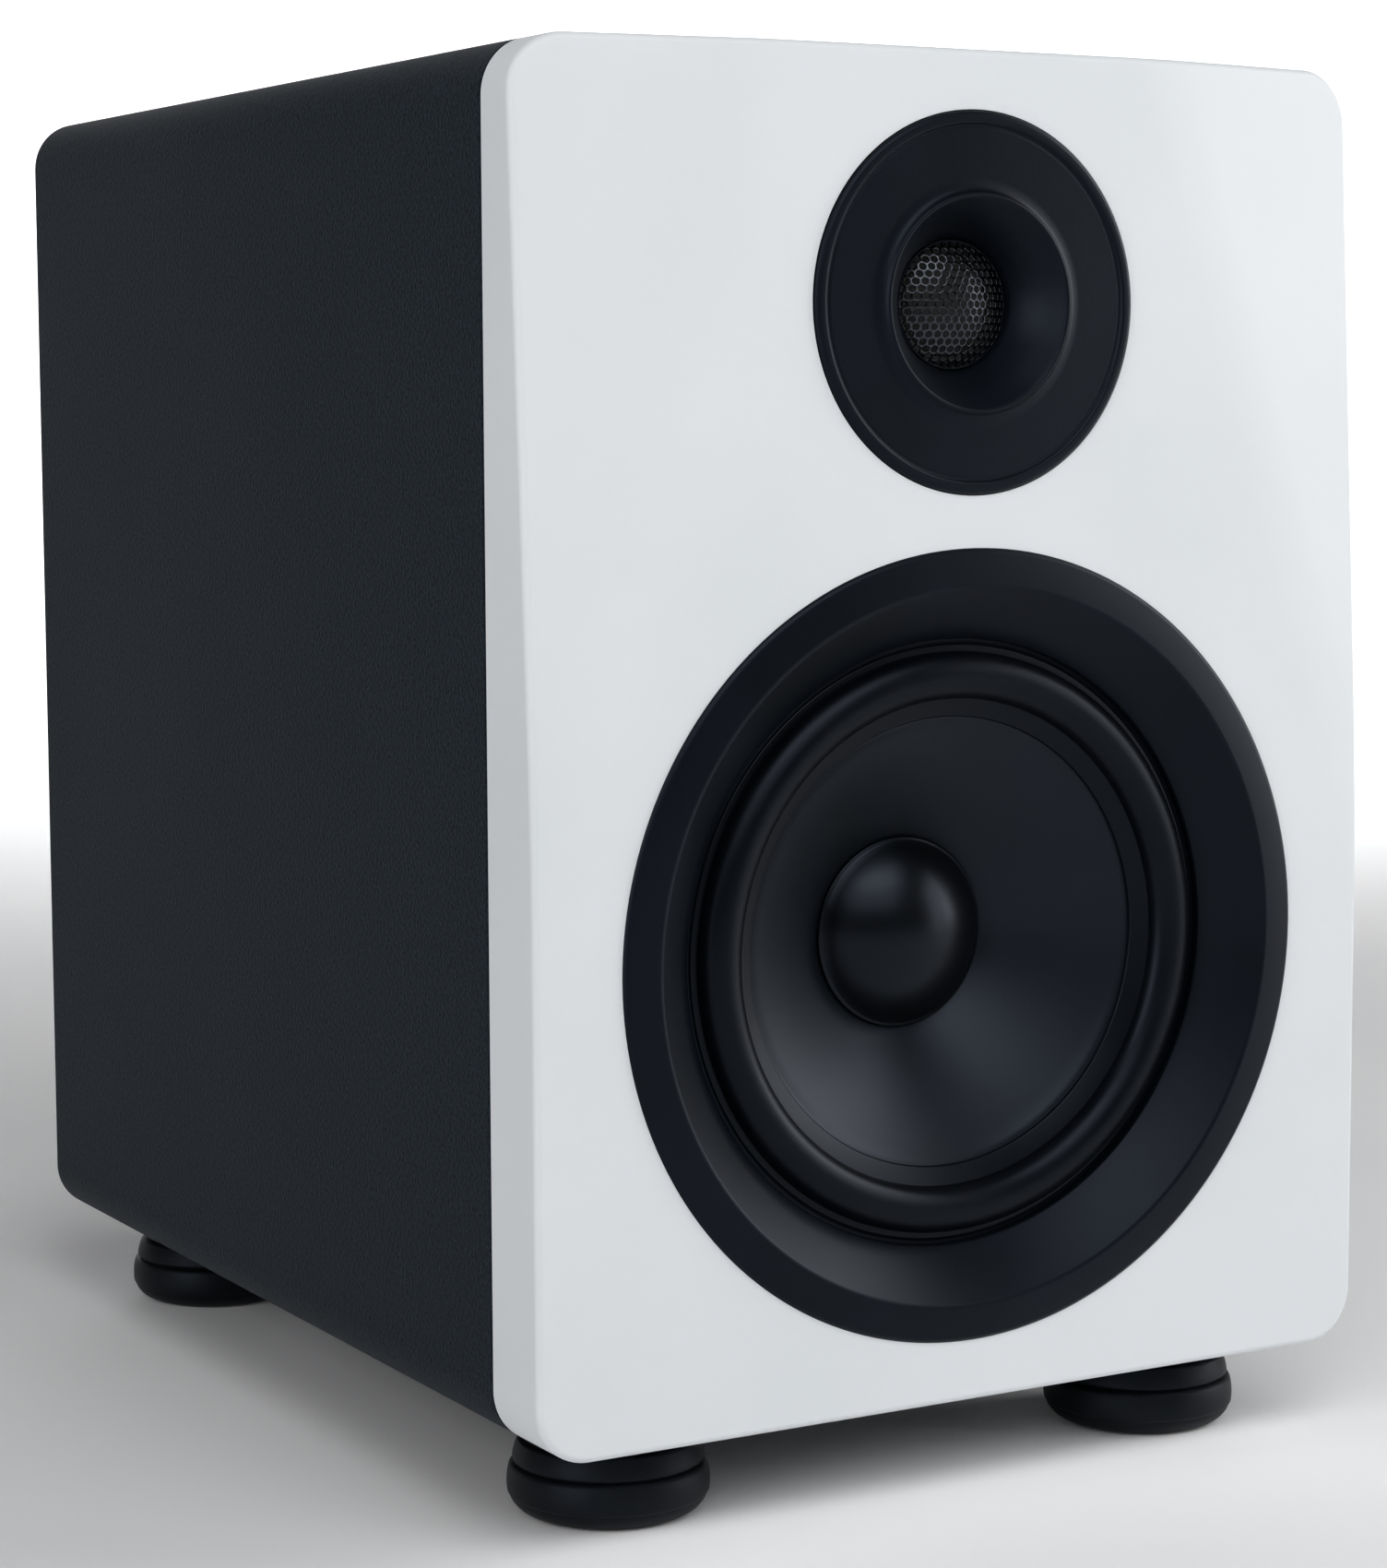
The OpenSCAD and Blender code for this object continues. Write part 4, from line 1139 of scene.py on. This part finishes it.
def make_foot(node):
    r = FOOT_R
    bm = turned([
        (6.5, 0, 0.4), (r - 5, 0, 1.0), (r - 2.4, 0.9, 1.2), (r - 0.8, 2.9, 0.7),
        (r - 0.65, 3.75, 0.12), (r - 0.3, 4.0, 0.3), (r, 6.6, 1.8), (r - 0.7, 9.9, 0.8),
        (r - 2.1, 10.3, 0.15), (r - 1.25, 10.7, 0.4), (r - 1.6, 13.2, 1.6), (r - 2.6, 15.0, 0.7),
        (r - 3.8, 15.3, 0.15), (r - 2.95, 15.7, 0.4), (r - 3.7, 18.2, 1.4), (r - 5.4, FOOT_H),
        (2.5, FOOT_H), (2.5, 10), (6.5, 10)], steps=96)
    spot = middle(node)
    finish(bm, node + "_rubber", FOOT, "housing", [node],
           Matrix.Translation((spot.x, spot.y, 0)), sharp_deg=40)


for corner in ("front_left", "front_right", "back_left", "back_right"):
    make_foot("foot_" + corner)

# %% [markdown]
# The port.
# The bass port opens on the back through a flared trumpet with a thin flange, so the air
# leaves it without a whistle. It is one section again, from the flange down the flare and
# along the tube to its rounded inner end.

# %% Port tube
PORT_R = 22


def make_port():
    r = PORT_R
    bm = turned([
        (r, -16), (r + 0.6, -10, 2.2), (r + 2.4, -4.5, 2.2), (r + 5.4, -0.8, 1.6),
        (r + 8.6, 1.75, 0.6), (r + 10, 2.5, 0.5), (r + 15.2, 2.5, 0.4), (r + 16, 1.6, 0.5),
        (r + 16, 0.03), (r + 9.5, 0.03), (r + 7.5, -3), (r + 5, -7.5), (r + 3.2, -13),
        (r + 2.5, -17), (r + 2.5, -102), (r + 5.5, -109, 0.3), (r + 3.5, -110, 0.5),
        (r + 1, -104, 1.5), (r, -98)], steps=128)
    finish(bm, "port_flared", PORT, "housing", ["port_tube"], AT_PORT, sharp_deg=30)


make_port()

# %% [markdown]
# The terminal cup.
# The cable sockets stand in a moulded well so that the plugs stay behind the back's plane.
# The flange and the well are rounded boxes with the pocket carved out of both, and a small
# step round the pocket's mouth, as a mould leaves where its two halves meet. A hair's gap
# between flange and panel keeps their faces apart.

# %% Terminal cup
POCKET = (60, 42, 7)
POCKET_H = -22
STEP_WIDTH = 1.2
STEP_H = 1.7
FLANGE_H = 2.5
WELL_H = -24.5
ABOVE_CUP = 9
HAIR = 0.03


def rounded_block(width, height, low_h, high_h, corner, edge=0.0):
    """A box with rounded corners round Z and, if wanted, a rounded upper rim."""
    bm = block((-width / 2, -height / 2, low_h), (width / 2, height / 2, high_h))
    bevel(bm, [e for e in bm.edges if runs_along(e, 2)], corner, 10)
    if edge:
        bm.normal_update()
        bevel(bm, [e for e in bm.edges if sum(f.normal.z > FACING for f in e.link_faces) == 1],
              edge, 4)
    return bm


def pocket_cutters():
    wide, tall, corner = POCKET
    step = 2 * STEP_WIDTH
    return (cutter(rounded_block(wide, tall, POCKET_H, ABOVE_CUP, corner), AT_CUP),
            cutter(rounded_block(wide + step, tall + step, STEP_H, ABOVE_CUP,
                                 corner + STEP_WIDTH), AT_CUP))


def make_cup():
    flange = finish(rounded_block(84, 68, HAIR, FLANGE_H, corner=7, edge=0.8), "cup_flange",
                    ABS, "housing", ["terminal_cup"], AT_CUP, sharp_deg=30)
    carved(flange, *pocket_cutters())
    well = finish(rounded_block(65, 47, WELL_H, HAIR, corner=9.5), "cup_well",
                  ABS, "housing", ["terminal_cup"], AT_CUP, sharp_deg=30)
    carved(well, *pocket_cutters())


make_cup()

# %% [markdown]
# Screws.
# Each holding screw is a black wood screw with a cross recess. The head is a low turned dome,
# and the recess is cut with two crossed blades, each screw stopped at its own angle.

# %% Cup screws
SCREW_X = 35.5
SCREW_Z = 27.5
BLADE_LONG = 1.7
BLADE_WIDE = 0.35
RECESS_H = 2.7
ABOVE_HEAD = 5
FIRST_TURN = 20
NEXT_TURN = 37


def make_screw(index, x, z):
    at = facing_back(AT_CUP.translation.x + x, BACK_Y, AT_CUP.translation.z + z)
    bm = turned([(0, 3.7), (1.6, 3.6, 0.8), (3.0, 2.9, 0.4), (3.2, 2.5, 0.05), (1.5, 2.2),
                 (1.5, -12), (0.2, -13), (0, -13)], steps=40, round_steps=3)
    piece = finish(bm, f"cup_screw_{index}", COATED, "housing", ["cup_screws"], at,
                   sharp_deg=40)
    blades = [block((-BLADE_LONG, -BLADE_WIDE, RECESS_H), (BLADE_LONG, BLADE_WIDE, ABOVE_HEAD)),
              block((-BLADE_WIDE, -BLADE_LONG, RECESS_H), (BLADE_WIDE, BLADE_LONG, ABOVE_HEAD))]
    turn = Matrix.Rotation(math.radians(FIRST_TURN + NEXT_TURN * index), 4, "Z")
    carved(piece, *[cutter(blade, at @ turn) for blade in blades])


for index, (sx, sz) in enumerate([(-1, -1), (1, -1), (-1, 1), (1, 1)]):
    make_screw(index, sx * SCREW_X, sz * SCREW_Z)

# %% [markdown]
# Binding posts.
# A gold-flashed brass stud stands in an insulating collar. A loose washer and a fluted cap
# run on its thread and clamp a bare wire, and the stud's end is bored for a plug. The
# thread's grooves are drawn as rings, because a helix this fine reads the same.

# %% Stud, collar and washer
THREAD_PITCH = 0.75
THREAD_TURNS = 16
CREST = (3.0, 15.4)
ROOT = (2.7, 15.05)


def at_post(node):
    return facing_back(middle(node).x, low("red_post_base").y, middle(node).z)


def make_stud(colour):
    thread = []
    for i in range(THREAD_TURNS):
        thread += [(radius, top - THREAD_PITCH * i) for radius, top in (CREST, ROOT)]
    tail = low(colour + "_post_stud").y - low("red_post_base").y
    bm = turned([(0, 6), (1.2, 6.6), (2, 6.6), (2, 16.6, 0.2), (2.3, 17, 0.1), (2.7, 17, 0.2),
                 (3, 16.3, 0.2)] + thread + [(3, 3), (3, 0.03), (2, 0.03), (2, tail), (0, tail)],
                steps=64, round_steps=3)
    finish(bm, colour + "_stud_turned", GILT, "housing", [colour + "_post_stud"],
           at_post(colour + "_post_stud"), sharp_deg=40)


def make_collar(colour, material):
    bm = turned([(3.05, 0.02), (7, 0.02, 0.1), (7, 1.6, 0.15), (6.6, 1.9, 0.15), (6.6, 3, 0.35),
                 (3.05, 3, 0.2)], steps=72, round_steps=3)
    finish(bm, colour + "_collar_moulded", material, "housing", [colour + "_post_base"],
           at_post(colour + "_post_base"), sharp_deg=40)


def make_washer(colour):
    bm = turned([(3.15, 3.02), (6.4, 3.02, 0.2), (6.4, 4.02, 0.2), (3.15, 4.02, 0.15)],
                steps=64, round_steps=3)
    finish(bm, colour + "_washer_turned", GILT, colour + "_washer", [colour + "_post_washer"],
           at_post(colour + "_post_washer"), sharp_deg=40)

# %% [markdown]
# The caps.
# A plain cap is turned first. Then every third column of its grip is pressed inwards, which
# leaves the flutes that fingers hold.

# %% Caps
CAP_STEPS = 72
FLUTE_EVERY = 3
GRIP_R = 7
FLUTE_R = 6.35


def make_cap(colour, material):
    bm = turned([(3.06, 4.05), (6.6, 4.05, 0.3), (6.6, 5.2, 0.1), (GRIP_R, 5.5, 0.25),
                 (GRIP_R, 6.2), (GRIP_R, 13.6), (GRIP_R, 14.3, 0.4), (6.3, 14.9, 0.2),
                 (6.1, 16.04, 0.6), (3.7, 16.04, 0.2), (3.06, 15.5)],
                steps=CAP_STEPS, round_steps=3)
    for v in bm.verts:
        column = round(math.atan2(v.co.y, v.co.x) / (2 * math.pi / CAP_STEPS))
        if column % FLUTE_EVERY == 0 and v.co.xy.length > GRIP_R - 0.1:
            v.co.xy *= FLUTE_R / GRIP_R
    finish(bm, colour + "_cap_fluted", material, colour + "_cap", [colour + "_post_cap"],
           at_post(colour + "_post_cap"), sharp_deg=25)


for colour, material in (("red", RED), ("black", POST_BLACK)):
    make_stud(colour)
    make_collar(colour, material)
    make_washer(colour)
    make_cap(colour, material)

# %% [markdown]
# The works inside.
# The rest of the inside keeps its working shape and gets the finish of what it is made of.
# The tweeter's coil is the exception: it is given black powder coat in place of its copper,
# as painted shade, so that no copper glints through the mesh.

# %% Finishes of the frame's own nodes
FINISH = {
    "cabinet_brace": BOARD, "baffle_dowels": BEECH, "lining_left": WOOL, "lining_right": WOOL,
    "lining_top": WOOL, "woofer_basket": COATED, "woofer_gasket": FOAM, "woofer_screws": COATED,
    "woofer_top_plate": ZINC, "woofer_magnet": FERRITE, "woofer_pole_piece": ZINC,
    "woofer_terminal_strip": GILT, "woofer_coil_former": KAPTON, "woofer_voice_coil": COPPER,
    # tweeter_voice_coil: black in place of copper, a painted shade against glints.
    "tweeter_dome": SILK, "tweeter_voice_coil": COATED, "tweeter_top_plate": ZINC,
    "tweeter_magnet": FERRITE, "tweeter_pole_piece": ZINC, "tweeter_rear_chamber": ABS,
    "tweeter_screws": COATED, "cup_gasket": FOAM,
    "post_nuts": ZINC, "crossover_board": PCB, "crossover_coils": COPPER,
    "crossover_capacitors": CAPACITOR, "crossover_resistor": CEMENT, "crossover_screws": ZINC,
    "terminal_wires": WIRE, "woofer_wires": WIRE, "tweeter_wires": WIRE, "foot_screws": ZINC,
}
for node, material in FINISH.items():
    node_mesh = NODES[node].data
    node_mesh.materials.clear()
    node_mesh.materials.append(material)
print("finished nodes:", len(FINISH))
